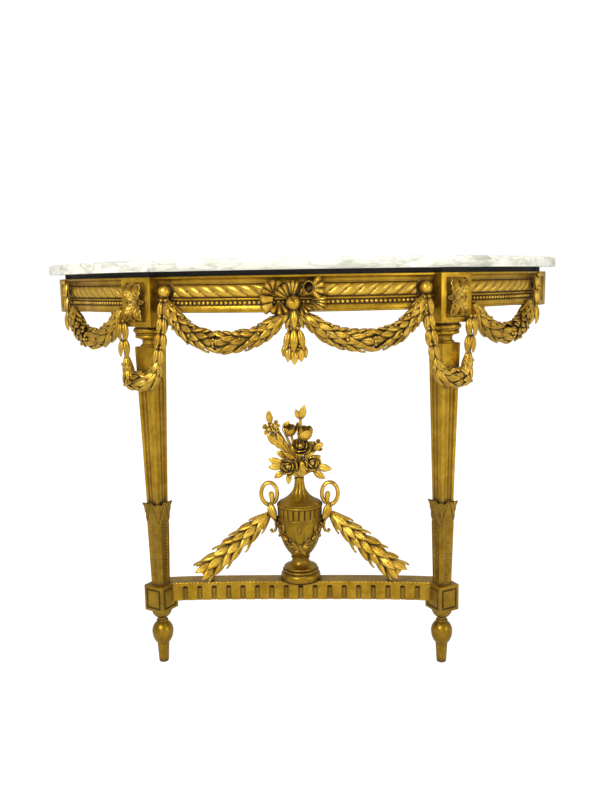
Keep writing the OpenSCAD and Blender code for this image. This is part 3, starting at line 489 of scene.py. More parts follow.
CHAIN_CORE_STEPS = 8
CHAIN_APART = 0.0044
CHAIN_ROOT_SHARE = 0.7
CHAIN_LIFT = 0.10
CHAIN_LEAN = 0.25
CHAIN_SPREAD_SHARES = (0.03, 0.10)
CHAIN_SIZE_SHARES = (0.96, 1.05)


def chain(bm, line, form, step, seed, size=1.0):
    """Pairs of leaves side by side, each pair with two berries at its root, along a line."""
    dice = random.Random(seed)
    length, at = course(line)
    add_core(bm, at, length, CHAIN_CORE_STEPS)
    tiers = max(1, round(length / step))
    for k in range(tiers):
        point, ahead, out, radius = at(length * k / tiers)
        side = out.cross(ahead)
        for way in (-1, 1):
            fore = ahead + side * way * dice.uniform(*CHAIN_SPREAD_SHARES) + out * CHAIN_LIFT
            root = point + side * way * CHAIN_APART + out * radius * CHAIN_ROOT_SHARE
            up = out + side * way * CHAIN_LEAN
            add_form(bm, form, facing(root, fore, up, size * dice.uniform(*CHAIN_SIZE_SHARES)))
            add_berry(bm, root + out * BERRY_R * 1.7 - ahead * BERRY_R * 0.2, BERRY_R * BIG_BERRY_SHARE)


# Worn gilding with dirt, painted shade and painted highlights, marble and bare wood

def new_node(tree, kind, **settings):
    """A shader node with its settings; a socket's value goes by the socket's name."""
    node = tree.nodes.new(kind)
    for key, value in settings.items():
        if hasattr(node, key):
            setattr(node, key, value)
        else:
            node.inputs[key.replace("_", " ")].default_value = value
    return node


def ramp(tree, source, stops):
    """Colour ramp on a value, from (place, colour) pairs."""
    node = tree.nodes.new("ShaderNodeValToRGB")
    steps = node.color_ramp.elements
    while len(steps) < len(stops):
        steps.new(0.5)
    for step, (place, colour) in zip(steps, stops):
        step.position = place
        step.color = (*colour, 1) if len(colour) == 3 else colour
    tree.links.new(source, node.inputs["Fac"])
    return node.outputs["Color"]


def grey(value):
    """A grey as a colour."""
    return (value, value, value)


def blend(tree, share, a, b, mode="MIX"):
    """Colour mix of a and b, each a colour or a socket."""
    node = tree.nodes.new("ShaderNodeMix")
    node.data_type = "RGBA"
    node.blend_type = mode
    for place, value in ((0, share), (6, a), (7, b)):
        if isinstance(value, bpy.types.NodeSocket):
            tree.links.new(value, node.inputs[place])
        else:
            node.inputs[place].default_value = value if place == 0 else (*value, 1)
    return node.outputs[2]


def figure(tree, kind, a, b=None, clamp=False):
    """A sum on one or two values or sockets."""
    node = tree.nodes.new("ShaderNodeMath")
    node.operation = kind
    node.use_clamp = clamp
    for place, value in ((0, a), (1, b)):
        if isinstance(value, bpy.types.NodeSocket):
            tree.links.new(value, node.inputs[place])
        elif value is not None:
            node.inputs[place].default_value = value
    return node.outputs[0]


def noise(tree, vector, scale, detail=4.0, rough=0.55):
    """Noise over a position."""
    node = new_node(tree, "ShaderNodeTexNoise", Scale=scale, Detail=detail, Roughness=rough)
    tree.links.new(vector, node.inputs["Vector"])
    return node.outputs["Fac"]


def group_tree(name, inputs, outputs):
    """A shader node group with named sockets, its input node and its output node."""
    tree = bpy.data.node_groups.new(name, "ShaderNodeTree")
    for label, kind, value in inputs:
        tree.interface.new_socket(label, in_out="INPUT", socket_type=kind).default_value = value
    for label, kind in outputs:
        tree.interface.new_socket(label, in_out="OUTPUT", socket_type=kind)
    return tree, tree.nodes.new("NodeGroupInput"), tree.nodes.new("NodeGroupOutput")


WORN_INPUTS = [
    ("Bright", "NodeSocketColor", (0.8, 0.5, 0.1, 1)), ("Deep", "NodeSocketColor", (0.4, 0.2, 0.03, 1)),
    ("Clay", "NodeSocketColor", (0.2, 0.05, 0.02, 1)), ("Dirt and shade", "NodeSocketColor", (0.03, 0.015, 0.005, 1)),
    ("Rubbed", "NodeSocketFloat", 0.5), ("Grime and shade", "NodeSocketFloat", 0.5), ("Floor shade", "NodeSocketFloat", 0.0)]
WORN_OUTPUTS = [("Color", "NodeSocketColor"), ("Metal", "NodeSocketFloat"), ("Roughness", "NodeSocketFloat"),
                ("Height", "NodeSocketFloat")]
CLOUD_SCALE = 26
STREAK_SCALE = 95
GRAIN_SCALE = 420
# Reach of the recess darkening, which is dirt and painted shade
HOLLOW_SHADE_REACH = 0.012
# Reach of the edge lightening, which is a painted highlight
EDGE_HIGHLIGHT_REACH = 0.0012
HOLLOW_SHADE_RAMP = [(0.38, grey(1)), (0.95, grey(0))]
EDGE_HIGHLIGHT_RAMP = [(0.35, grey(1)), (0.8, grey(0))]
TONE_SHADES = [(0.40, grey(0)), (0.62, grey(1))]
# Heights near the floor where the gilding is darkened as painted shade
FLOOR_SHADE_RAMP = [(0.34, grey(1)), (0.42, grey(0))]
BARE_SHADES = [(0.56, grey(0)), (0.66, grey(1))]
BARE_CLOUDS = [(0.42, grey(0)), (0.6, grey(1))]
# Share of the painted edge highlight
EDGE_HIGHLIGHT = 0.6
LEAF_METAL = 0.9
LEAF_ROUGH = 0.22
SOIL_ROUGH = 0.35


def scaled(tree, a, b, clamp_it=False):
    """Product of two values or sockets."""
    return figure(tree, "MULTIPLY", a, b, clamp_it)


def height_of(tree, place):
    """Height of a position over the floor."""
    parts = tree.nodes.new("ShaderNodeSeparateXYZ")
    tree.links.new(place, parts.inputs[0])
    return parts.outputs["Z"]


def leaf_tone(tree, given, clouds, streaks, edge, place):
    """Cloudy leaf between its two tones, with a painted highlight on the edges and painted shade near the
    floor.
    """
    mottle = figure(tree, "ADD", scaled(tree, clouds, 0.55), scaled(tree, streaks, 0.45))
    tone = ramp(tree, mottle, TONE_SHADES)
    leaf = blend(tree, tone, given.outputs["Deep"], given.outputs["Bright"])
    # Edges lightened towards the bright tone: a painted highlight
    leaf = blend(tree, scaled(tree, edge, EDGE_HIGHLIGHT), leaf, given.outputs["Bright"])
    # Lower parts darkened towards black: painted shade near the floor
    floor_shade_mask = ramp(tree, height_of(tree, place), FLOOR_SHADE_RAMP)
    return blend(tree, scaled(tree, floor_shade_mask, given.outputs["Floor shade"]), leaf, grey(0.0))


def leaf_wear_and_shade_group():
    """Old gold leaf: cloudy leaf, red clay where it is rubbed, dark dirt and painted shade in the recesses, a
    painted highlight on the edges and painted shade near the floor.
    """
    tree, given, result = group_tree("gold_leaf_wear_and_painted_light", WORN_INPUTS, WORN_OUTPUTS)
    place = tree.nodes.new("ShaderNodeTexCoord").outputs["Object"]
    clouds = noise(tree, place, CLOUD_SCALE, 3)
    streaks = noise(tree, place, STREAK_SCALE, 5, 0.65)
    grain = noise(tree, place, GRAIN_SCALE, 3)
    # Occlusion darkens the recesses towards the dark colour: partly dirt, partly painted shade
    hollow = new_node(tree, "ShaderNodeAmbientOcclusion", samples=6, Distance=HOLLOW_SHADE_REACH)
    depth = ramp(tree, hollow.outputs["AO"], HOLLOW_SHADE_RAMP)
    # Inside occlusion finds the convex edges, which are lightened as a painted highlight
    ridge_highlight = new_node(tree, "ShaderNodeAmbientOcclusion", samples=4, inside=True, Distance=EDGE_HIGHLIGHT_REACH)
    edge = ramp(tree, ridge_highlight.outputs["AO"], EDGE_HIGHLIGHT_RAMP)
    leaf = leaf_tone(tree, given, clouds, streaks, edge, place)
    bare = scaled(tree, scaled(tree, ramp(tree, streaks, BARE_SHADES), given.outputs["Rubbed"]),
                  ramp(tree, clouds, BARE_CLOUDS))
    leaf = blend(tree, bare, leaf, given.outputs["Clay"])
    grime_and_shade = figure(tree, "ADD", scaled(tree, streaks, 0.5), given.outputs["Grime and shade"])
    dirt_and_shade = scaled(tree, depth, grime_and_shade, True)
    cover = figure(tree, "SUBTRACT", figure(tree, "SUBTRACT", 1.0, dirt_and_shade, True), bare, True)
    rough = figure(tree, "ADD", scaled(tree, streaks, LEAF_ROUGH), LEAF_ROUGH)
    rough = figure(tree, "ADD", rough, scaled(tree, dirt_and_shade, SOIL_ROUGH), True)
    tree.links.new(blend(tree, dirt_and_shade, leaf, given.outputs["Dirt and shade"]), result.inputs["Color"])
    tree.links.new(scaled(tree, cover, LEAF_METAL), result.inputs["Metal"])
    tree.links.new(rough, result.inputs["Roughness"])
    tree.links.new(figure(tree, "ADD", streaks, scaled(tree, grain, 0.35)), result.inputs["Height"])
    return tree


def new_material(name):
    """A material with its tree and its main shader."""
    material = bpy.data.materials.new(name)
    material.use_nodes = True
    return material, material.node_tree, material.node_tree.nodes["Principled BSDF"]


def add_bump(tree, shader, height, distance, strength=1.0):
    """A height as a bump on the shader."""
    bump = new_node(tree, "ShaderNodeBump", Strength=strength, Distance=distance)
    tree.links.new(height, bump.inputs["Height"])
    tree.links.new(bump.outputs["Normal"], shader.inputs["Normal"])


HATCH_SCALE = 75
UPPER_SHADES = [(0.5, grey(0)), (0.8, grey(1))]
LEAF_RELIEF = 0.0006
GRAIN_RELIEF = 0.0004


def hatching(tree):
    """Fine slanting chisel lines on the upper faces, as a height."""
    place = tree.nodes.new("ShaderNodeTexCoord")
    lines = new_node(tree, "ShaderNodeTexWave", bands_direction="DIAGONAL", Scale=HATCH_SCALE, Distortion=1.5,
                     Detail=2)
    tree.links.new(place.outputs["Object"], lines.inputs["Vector"])
    upper = ramp(tree, height_of(tree, place.outputs["Normal"]), UPPER_SHADES)
    return scaled(tree, lines.outputs["Fac"], upper)


def gilding(name, bright, deep, rubbed, grime_and_shade, floor_shade=0.0, hatched=0.0):
    """Gilt wood in one tone, with chisel lines where it is hatched, and with the leaf's dirt, painted shade
    and painted highlights.
    """
    material, tree, shader = new_material(name)
    # The leaf group gives wear, dirt, painted shade and painted highlights
    worn = tree.nodes.new("ShaderNodeGroup")
    worn.node_tree = LEAF_WEAR_AND_SHADE
    for label, value in (("Bright", bright), ("Deep", deep), ("Clay", CLAY), ("Dirt and shade", DIRT_AND_SHADE)):
        worn.inputs[label].default_value = (*value, 1)
    for label, value in (("Rubbed", rubbed), ("Grime and shade", grime_and_shade), ("Floor shade", floor_shade)):
        worn.inputs[label].default_value = value
    for label, socket in (("Color", "Base Color"), ("Metal", "Metallic"), ("Roughness", "Roughness")):
        tree.links.new(worn.outputs[label], shader.inputs[socket])
    height = worn.outputs["Height"]
    if hatched:
        height = figure(tree, "ADD", height, scaled(tree, hatching(tree), hatched))
    add_bump(tree, shader, height, LEAF_RELIEF)
    return material


BED_SHARE = 3.4
WARP_SCALE = 7
WARP_PULL = 0.12
STONE_CLOUD_SCALE = 15
VEIN_SCALE = 10
VEIN_SHADES = [(0.0, grey(1)), (0.045, grey(0))]
STONE_SHADES = [(0.38, (0.57, 0.58, 0.475)), (0.47, (0.76, 0.75, 0.63)), (0.58, (0.86, 0.84, 0.735))]
VEIN_COLOUR = (0.44, 0.45, 0.36)
VEIN_STRENGTH = 0.65
POLISH = 0.28


def warped_place(tree):
    """Position in the stone, flattened to its beds and pulled about by noise."""
    beds = new_node(tree, "ShaderNodeMapping", Scale=(1, 1, BED_SHARE))
    tree.links.new(tree.nodes.new("ShaderNodeTexCoord").outputs["Object"], beds.inputs["Vector"])
    warp = new_node(tree, "ShaderNodeTexNoise", Scale=WARP_SCALE, Detail=4)
    tree.links.new(beds.outputs["Vector"], warp.inputs["Vector"])
    pull = tree.nodes.new("ShaderNodeVectorMath")
    pull.operation = "MULTIPLY_ADD"
    pull.inputs[1].default_value = grey(WARP_PULL)
    tree.links.new(warp.outputs["Color"], pull.inputs[0])
    tree.links.new(beds.outputs["Vector"], pull.inputs[2])
    return pull.outputs[0]


def marble_material():
    """Creamy white marble with soft grey-green clouds and thin veins, which lie flat."""
    material, tree, shader = new_material("veined_marble")
    place = warped_place(tree)
    clouds = noise(tree, place, STONE_CLOUD_SCALE, 6, 0.62)
    lines = noise(tree, place, VEIN_SCALE, 3, 0.5)
    vein = ramp(tree, figure(tree, "ABSOLUTE", figure(tree, "SUBTRACT", lines, 0.5)), VEIN_SHADES)
    colour = blend(tree, scaled(tree, vein, VEIN_STRENGTH), ramp(tree, clouds, STONE_SHADES), VEIN_COLOUR)
    tree.links.new(colour, shader.inputs["Base Color"])
    shader.inputs["Roughness"].default_value = POLISH
    return material


def wood_material(name, light, dark, rough):
    """Plain wood with its grain along X."""
    material, tree, shader = new_material(name)
    place = tree.nodes.new("ShaderNodeTexCoord").outputs["Object"]
    stretch = new_node(tree, "ShaderNodeMapping", Scale=(1.2, 22, 22))
    tree.links.new(place, stretch.inputs["Vector"])
    grain = noise(tree, stretch.outputs["Vector"], 9, 6, 0.6)
    tree.links.new(ramp(tree, grain, [(0.35, dark), (0.65, light)]), shader.inputs["Base Color"])
    shader.inputs["Roughness"].default_value = rough
    add_bump(tree, shader, grain, GRAIN_RELIEF)
    return material


CLAY = (0.20, 0.07, 0.02)
# Colour of the recesses: dirt and painted shade
DIRT_AND_SHADE = (0.035, 0.014, 0.003)
LEAF_WEAR_AND_SHADE = leaf_wear_and_shade_group()
# The grime share sets how dark the recesses go, with dirt and painted shade
ORNAMENT = gilding("bright_gilding", bright=(0.86, 0.56, 0.075), deep=(0.48, 0.26, 0.016), rubbed=0.45,
                   grime_and_shade=0.9)
GARLAND = gilding("soft_gilding", bright=(0.68, 0.43, 0.054), deep=(0.37, 0.20, 0.012), rubbed=0.45,
                  grime_and_shade=0.9)
# The floor share darkens the lower parts of these pieces as painted shade
MOULDING = gilding("flat_gilding", bright=(0.60, 0.36, 0.024), deep=(0.36, 0.195, 0.009), rubbed=0.5,
                   grime_and_shade=0.75, floor_shade=0.40)
HATCHED = gilding("hatched_gilding", bright=(0.56, 0.335, 0.024), deep=(0.34, 0.185, 0.009), rubbed=0.5,
                  grime_and_shade=0.75, floor_shade=0.15, hatched=1.0)
MARBLE = marble_material()
BARE_WOOD = wood_material("bare_wood", light=(0.42, 0.27, 0.14), dark=(0.27, 0.16, 0.08), rough=0.75)
# Near-black wood that stands in for the shadow under the marble
SHADOW_BLACK_WOOD = wood_material("dark_wood", light=(0.010, 0.008, 0.006), dark=(0.004, 0.003, 0.003), rough=0.8)


# Marble, near-black frame as painted shadow under the slab, and bare wood

SAWN_ROUND = 0.0012


def plain_parts():
    """The marble and the unseen wood keep their own shapes, as merged copies."""
    bm = merged_copy("marble_top")
    finish_piece("marble_slab", bm, MARBLE, ["marble_top"], body="marble")
    # The frame under the slab is near-black: painted shadow between the slab and the rails
    bm = merged_copy("top_frame")
    finish_piece("shadow_black_frame", bm, SHADOW_BLACK_WOOD, ["top_frame"])
    for node in ("back_rail", "cross_batten"):
        bm = merged_copy(node)
        soften(bm, SAWN_ROUND)
        finish_piece("bare_" + node, bm, BARE_WOOD, [node])


# Apron

LIP = 0.0012
QUIRK = 0.001
FASCIA_H = 0.014
FASCIA_LIP_H = 0.0035
BEAD_BED_OUT = 0.002
BEAD_BED_SINK = 0.0015
BEAD_BED_H = 0.0045
BEADS_H = 0.029
REED_R = 0.0022
CORNICE_H = 0.016
COVE_R = 0.0082
CROWN_H = 0.0045


def rail_profile():
    """Section of the rails as (way out from the frieze, height)."""
    frieze_low, frieze_top = RAIL_BOTTOM + BEADS_H, RAIL_TOP - CORNICE_H
    bead_low = RAIL_BOTTOM + FASCIA_H
    sunk = LOWER_OUT - LIP
    points = [(-RAIL_T, RAIL_BOTTOM), (sunk, RAIL_BOTTOM), (LOWER_OUT, RAIL_BOTTOM + LIP),
              (LOWER_OUT, RAIL_BOTTOM + FASCIA_LIP_H), (sunk, RAIL_BOTTOM + FASCIA_LIP_H + QUIRK),
              (sunk, bead_low - QUIRK * 4), (sunk - LIP, bead_low - QUIRK), (BEAD_BED_OUT, bead_low)]
    points += arc(BEAD_BED_OUT, BEAD_MID, BEAD_BED_SINK, BEAD_BED_H, -90, -270, 6)
    points += arc(BEAD_BED_OUT + QUIRK / 2, frieze_low - QUIRK * 2.5, REED_R, REED_R, -60, 60, 4)
    points += [(0, frieze_low), (0, frieze_top)]
    points += arc(BEAD_BED_OUT, frieze_top + QUIRK * 1.5, QUIRK * 1.5, QUIRK * 1.5, -80, 60, 4)
    points += arc(MOULD_OUT - QUIRK / 2, frieze_top + QUIRK * 3, COVE_R, COVE_R, 180, 96, 7)
    points += [(MOULD_OUT, RAIL_TOP - CROWN_H + QUIRK / 2), (MOULD_OUT, RAIL_TOP - LIP),
               (MOULD_OUT - LIP, RAIL_TOP), (-RAIL_T, RAIL_TOP)]
    return points


def swept_on_bow(bm, profile, start, end, step=1.0):
    """Adds a closed profile swept along the bow, with closed ends."""
    count = max(2, round(abs(end - start) / step))
    verts = [bm.verts.new(bow_point(start, FRIEZE_R + out, z)) for out, z in profile]
    face = bm.faces.new(verts)
    bmesh.ops.spin(bm, geom=[face], cent=(0, ARC_Y, 0), axis=(0, 0, 1), angle=math.radians(end - start),
                   steps=count)
    bmesh.ops.recalc_face_normals(bm, faces=bm.faces[:])


def rails():
    """Three moulded rails of the bowed apron."""
    runs = {"front_rail": (-LEG_TURN, LEG_TURN), "left_side_rail": (-REAR_TURN, -LEG_TURN),
            "right_side_rail": (LEG_TURN, REAR_TURN)}
    for node, (start, end) in runs.items():
        bm = bmesh.new()
        swept_on_bow(bm, rail_profile(), start, end)
        finish_piece("moulded_" + node, bm, MOULDING, [node])


TWIST_PITCH = 0.028
TWIST_HIGH = 0.0245
TWIST_OUT = 0.0085
TWIST_CELLS = 16
TWIST_WRAP_SHARE = 0.98
TWIST_SLANT_SHARE = 0.40
TWIST_GROOVE_SHARE = 0.34
TWIST_FILM = 0.0004


def twist(name, node, start, end):
    """Half-round rope of slanting strands, which lean away from the middle of the table."""
    strands = round(math.radians(end - start) * FRIEZE_R / TWIST_PITCH)
    bm = bmesh.new()
    bmesh.ops.create_grid(bm, x_segments=strands * TWIST_CELLS, y_segments=TWIST_CELLS, size=0.5)
    for v in bm.verts:
        along, around = v.co.x + 0.5, v.co.y * math.pi * TWIST_WRAP_SHARE
        turn = mix(start, end, along)
        lean = -1 if turn < 0 else 1
        phase = along * strands - lean * TWIST_SLANT_SHARE * math.sin(around)
        swell = (1 - abs(2 * (phase % 1) - 1) ** 2.2) ** 0.6
        out = TWIST_OUT * max(0.0, math.cos(around)) ** 0.8 * mix(TWIST_GROOVE_SHARE, 1, swell) + TWIST_FILM
        z = FRIEZE_MID + TWIST_HIGH / 2 * math.sin(around) * mix(0.93, 1, swell)
        v.co = bow_point(turn, FRIEZE_R + out, z)
    bmesh.ops.recalc_face_normals(bm, faces=bm.faces[:])
    bmesh.ops.solidify(bm, geom=bm.faces[:], thickness=-TWIST_FILM)
    finish_piece(name, bm, GARLAND, [node])


PEARL_PITCH = 0.0095
PEARL_R = 0.0042
PEARL_OUT = 0.0022


def pearls(name, node, start, end):
    """A row of pearls in the groove under the frieze."""
    count = round(math.radians(end - start) * FRIEZE_R / PEARL_PITCH)
    bm = bmesh.new()
    for k in range(count):
        turn = mix(start, end, (k + 0.5) / count)
        add_berry(bm, bow_point(turn, FRIEZE_R + PEARL_OUT, BEAD_MID), PEARL_R)
    finish_piece(name, bm, ORNAMENT, [node])


BALL_CLEAR_TURN = 1.6


def apron_ornament():
    """Rope twists and pearl strings of the three rails."""
    front = BALL_TURN - BALL_CLEAR_TURN
    twist("rope_front", "front_twist", -front, front)
    twist("rope_left", "left_side_twist", -SIDE_TO, -SIDE_FROM)
    twist("rope_right", "right_side_twist", SIDE_FROM, SIDE_TO)
    pearls("pearls_front", "front_beads", -BALL_TURN, BALL_TURN)
    pearls("pearls_left", "left_side_beads", -SIDE_TO, -SIDE_FROM)
    pearls("pearls_right", "right_side_beads", SIDE_FROM, SIDE_TO)


# Blocks, legs and feet

SHAFT_TOP_W = 0.046
SHAFT_LOW_W = 0.032
SHAFT_ARRIS = 0.0008
SHAFT_LIP = 0.0015
SHEATH_H = 0.183
SHEATH_T = 0.004
SHEATH_NOTCH = 0.048
PLAIN_H = 0.062
FLUTE_SHARE = 0.58
FLUTE_SINK_SHARE = 0.46
FLUTE_REED_SHARE = 0.55
FILLET_SHARE = 0.03
FLUTE_ACROSS_SHARES = (-1, -0.94, -0.8, -0.55, -0.25, 0, 0.25, 0.55, 0.8, 0.94, 1)
FLUTE_END = ((0.014, 1), (0.0075, 0.86), (0.003, 0.62), (0.0008, 0.34), (0, 0))
NECK_H = 0.042
NECK_LOW = BLOCK_BOTTOM - NECK_H
SHEATH_TOP = LOWER_BLOCK_TOP + SHEATH_H


def shaft_half(z):
    """Half the shaft's width at a height."""
    return mix(SHAFT_LOW_W, SHAFT_TOP_W, (z - SHEATH_TOP) / (NECK_LOW - SHEATH_TOP)) / 2


def shaft_section(z, share):
    """Square section with a hollow flute between two fillets in each face."""
    half = shaft_half(z)
    wide = half * FLUTE_SHARE * max(share, 0.02)
    fillet = half * FILLET_SHARE
    row = [(-half + SHAFT_ARRIS, -half), (-wide - fillet, -half)]
    for u in FLUTE_ACROSS_SHARES:
        reeded = 1 - FLUTE_REED_SHARE * bell(u, 0.5)
        row.append((wide * u, -half + half * FLUTE_SINK_SHARE * share * (1 - u * u) ** 0.35 * reeded))
    row += [(wide + fillet, -half), (half - SHAFT_ARRIS, -half)]
    turns = [Matrix.Rotation(math.radians(90 * k), 3, "Z") for k in range(4)]
    return [turn @ Vector((x, y, z)) for turn in turns for x, y in row]


def shaft(bm):
    """Tapered shaft with flutes that end round under its plain top."""
    flute_top = NECK_LOW - PLAIN_H
    levels = [(LOWER_BLOCK_TOP, 1), (SHEATH_TOP, 1)]
    levels += [(flute_top - below, share) for below, share in FLUTE_END]
    sections = [shaft_section(z, share) for z, share in levels + [(NECK_LOW - SHAFT_LIP, 0)]]
    sections.append([Vector((p.x * 0.95, p.y * 0.95, NECK_LOW)) for p in sections[-1]])
    loft(bm, sections)


# Rings of the neck as (radius, depth, half-width, half-height), and its hollow as (radius, depth)
NECK_R = 0.030
NECK_FILLET = 0.003
NECK_RING = (0.0285, 0.0085, 0.0055, 0.0055)
NECK_QUIRK = ((0.0305, 0.0145), (0.0305, 0.016))
NECK_LOW_RING = (0.0255, 0.0205, 0.0048, 0.0045)
NECK_HOLLOW = ((0.0195, 0.0265), (0.0165, 0.029), (0.016, 0.032), (0.0162, 0.036), (0.0185, 0.038),
               (0.0205, 0.0395), (0.0205, NECK_H + 0.001), (0, NECK_H + 0.001))


def leg_neck_profile():
    """Double ring and neck under the leg block."""
    z = BLOCK_BOTTOM
    points = [(0, z), (NECK_R, z), (NECK_R, z - NECK_FILLET)]
    radius, deep, wide, high = NECK_RING
    points += arc(radius, z - deep, wide, high, 90, -90, 8)
    points += [(r, z - below) for r, below in NECK_QUIRK]
    radius, deep, wide, high = NECK_LOW_RING
    points += arc(radius, z - deep, wide, high, 80, -90, 7)
    return points + [(r, z - below) for r, below in NECK_HOLLOW]


SHEATH_CELLS = (40, 170)
SHEATH_WALL = 0.0022
SHEATH_OVER = 0.0006
SHEATH_FLARE = 0.0042
SHEATH_TIP_DROP = 0.0045
BACK_LEAF_OUT = 0.0022
BACK_LEAF_RIB = 0.0008
FIELD_SINK = 0.0016
FIELD_HATCH = 0.0008
FIELD_HATCH_RATE = 880
FIELD_W_SHARE = 0.45
LEAF_VEIN_SINK = 0.0012
LEAF_EDGE_SINK = 0.0026
ARRIS_SINK = 0.0020

# How sharply the leaf and its field end, and the half-widths of the grooves as shares
LEAF_EDGE_RATE = 60
FIELD_EDGE_RATE = 30
FIELD_ROOT_RATE = 12
LEAF_VEIN_SHARE = 0.10
LEAF_GROOVE_SHARE = 0.075
ARRIS_GROOVE_SHARE = 0.06
FLARE_POWER = 2.5


def sheath_relief(across, up, x, z, taper, edge):
    """How far the sheath's field, vein and grooves lie under its face."""
    tipped = min(1, taper * 8)
    field = soft_step((FIELD_W_SHARE - across) * FIELD_EDGE_RATE)
    field *= max(0, 1 - taper * 2) * min(1, up * FIELD_ROOT_RATE)
    sink = (FIELD_SINK - FIELD_HATCH * math.sin(z * FIELD_HATCH_RATE + x * 8)) * field
    sink += LEAF_VEIN_SINK * bell(across, LEAF_VEIN_SHARE) * min(1, taper * 3)
    sink += LEAF_EDGE_SINK * bell(across - edge, LEAF_GROOVE_SHARE) * tipped
    arris = bell(1 - across, ARRIS_GROOVE_SHARE) * (1 - tipped) * clamp(up * 5 - 1.4)
    return sink + ARRIS_SINK * arris


def sheath_point(s, up):
    """Point of a face of the sheath: a long leaf with a hatched field, and ribbed leaves
    behind it in the notches at the arrises, all flared at the top."""
    x = s - 0.5
    across = abs(x * 2)
    z = LOWER_BLOCK_TOP + SHEATH_H * up
    taper = clamp((z - SHEATH_TOP) / SHEATH_NOTCH + 1)
    edge = 1 - 0.97 * taper - 0.06 * (1 - taper)
    front = soft_step((edge - across) * LEAF_EDGE_RATE)
    flare = SHEATH_FLARE * taper ** FLARE_POWER
    rib = BACK_LEAF_RIB * math.sin((across - edge) * 22) * taper ** 0.5 * (1 - front)
    corner = shaft_half(z) + mix(SHEATH_OVER, BACK_LEAF_OUT, min(1, taper * 6)) + flare
    out = mix(corner + rib, shaft_half(z) + SHEATH_T + flare, front)
    out -= sheath_relief(across, up, x, z, taper, edge)
    return x * 2 * corner, -out, z - SHEATH_TIP_DROP * taper ** 8 * math.sin(math.pi * across) ** 2


def legs():
    """Legs with their necks, fluted shafts and sheaths."""
    face = shaped_sheet("sheath_face", SHEATH_CELLS, SHEATH_WALL, sheath_point, pointed=False)
    for name, side in SIDES.items():
        bm = bmesh.new()
        shaft(bm)
        turned(bm, leg_neck_profile(), ROUND_STEPS)
        for k in range(4):
            add_form(bm, face, Matrix.Rotation(math.radians(90 * k), 4, "Z"))
        bmesh.ops.transform(bm, matrix=at_leg(side), verts=bm.verts[:])
        finish_piece(f"fluted_{name}_leg", bm, MOULDING, [f"{name}_leg"])


LOWER_BLOCK_W = 0.051
LOWER_BLOCK_ROUND = 0.0014
PANEL_MARGIN = 0.0062
PANEL_GROOVE = 0.0052
PANEL_SINK = 0.0030


def framed_block(width, low, high):
    """Block with a grooved frame round a flush field in each of its upright faces."""
    bm = bmesh.new()
    bmesh.ops.create_cube(bm, size=1)
    bmesh.ops.scale(bm, vec=(width, width, high - low), verts=bm.verts[:])
    bmesh.ops.translate(bm, vec=(0, 0, (low + high) / 2), verts=bm.verts[:])
    soften(bm, LOWER_BLOCK_ROUND, segments=3)
    sides = [f for f in bm.faces if abs(f.normal.z) < 0.1 and f.calc_area() > width * (high - low) * 0.5]
    wall = PANEL_GROOVE * 0.4
    insets = ((PANEL_MARGIN, 0), (wall, -PANEL_SINK), (PANEL_GROOVE * 0.6, 0), (wall, PANEL_SINK))
    for thickness, step in insets:
        bmesh.ops.inset_individual(bm, faces=sides, thickness=thickness, depth=step)
    return bm


# Radii and heights of the foot's peg, ring and cup
FOOT_PEG = ((0, 0), (0.0082, 0), (0.0098, 0.0008), (0.0105, 0.003), (0.0128, 0.0405), (0.0132, 0.0425),
            (0.0129, 0.0435), (0.0136, 0.0445))
FOOT_RING = ((0.0115, 0.0932), (0.0124, 0.0938), (0.0128, 0.0952), (0.0122, 0.0966), (0.0098, 0.0974),
             (0.0096, 0.099))
BULB_Z = 0.071
BULB_R = 0.023
BULB_BELOW = 0.0325
BULB_ABOVE = 0.0248
CUP_R = 0.022


def foot_profile():
    """Cup, neck ring, bulb and round peg of a foot."""
    points = list(FOOT_PEG)
    points += arc(0, BULB_Z, BULB_R, BULB_BELOW, -52, 0, 10)[1:]
    points += arc(0, BULB_Z, BULB_R, BULB_ABOVE, 0, 62, 8)[1:]
    points += FOOT_RING
    points += arc(0, FOOT_TOP, CUP_R, CUP_R, -62, -3, 9)
    return points + [(CUP_R, FOOT_TOP), (0, FOOT_TOP)]


def lower_parts():
    """Lower blocks and turned feet."""
    for name, side in SIDES.items():
        bm = framed_block(LOWER_BLOCK_W, FOOT_TOP, LOWER_BLOCK_TOP)
        bmesh.ops.transform(bm, matrix=at_leg(side), verts=bm.verts[:])
        finish_piece(f"framed_{name}_lower_block", bm, MOULDING, [f"{name}_lower_block"])
        bm = bmesh.new()
        turned(bm, foot_profile(), ROUND_STEPS, at_leg(side))
        finish_piece(f"turned_{name}_foot", bm, MOULDING, [f"{name}_foot"])


BLOCK_ROUND = 0.0013
BALL_STEPS = 40
BALL_RING_R = 0.0158
BALL_RING_W = 0.0022
BALL_RING_OUT = 0.0030


def upper_blocks():
    """Leg blocks and rear blocks with worn arrises, and the balls in their rings."""
    for name, side in SIDES.items():
        for node in (f"{name}_leg_block", f"{name}_rear_block"):
            bm = merged_copy(node)
            soften(bm, BLOCK_ROUND, segments=3)
            finish_piece("worn_" + node, bm, MOULDING, [node])
        bm = bmesh.new()
        ball = arc(0, 0, BALL_D / 2, BALL_D / 2, -90, 90, 20)
        turned(bm, ball, BALL_STEPS, Matrix.Translation(middle(f"{name}_ball")))
        flat = on_bow(side * BALL_TURN, FRIEZE_R, FRIEZE_MID) @ Matrix.Rotation(math.radians(90), 4, "X")
        turned(bm, arc(BALL_RING_R, 0, BALL_RING_W, BALL_RING_OUT, 0, 180, 8), ROUND_STEPS, flat)
        finish_piece(f"turned_{name}_ball", bm, ORNAMENT, [f"{name}_ball"])


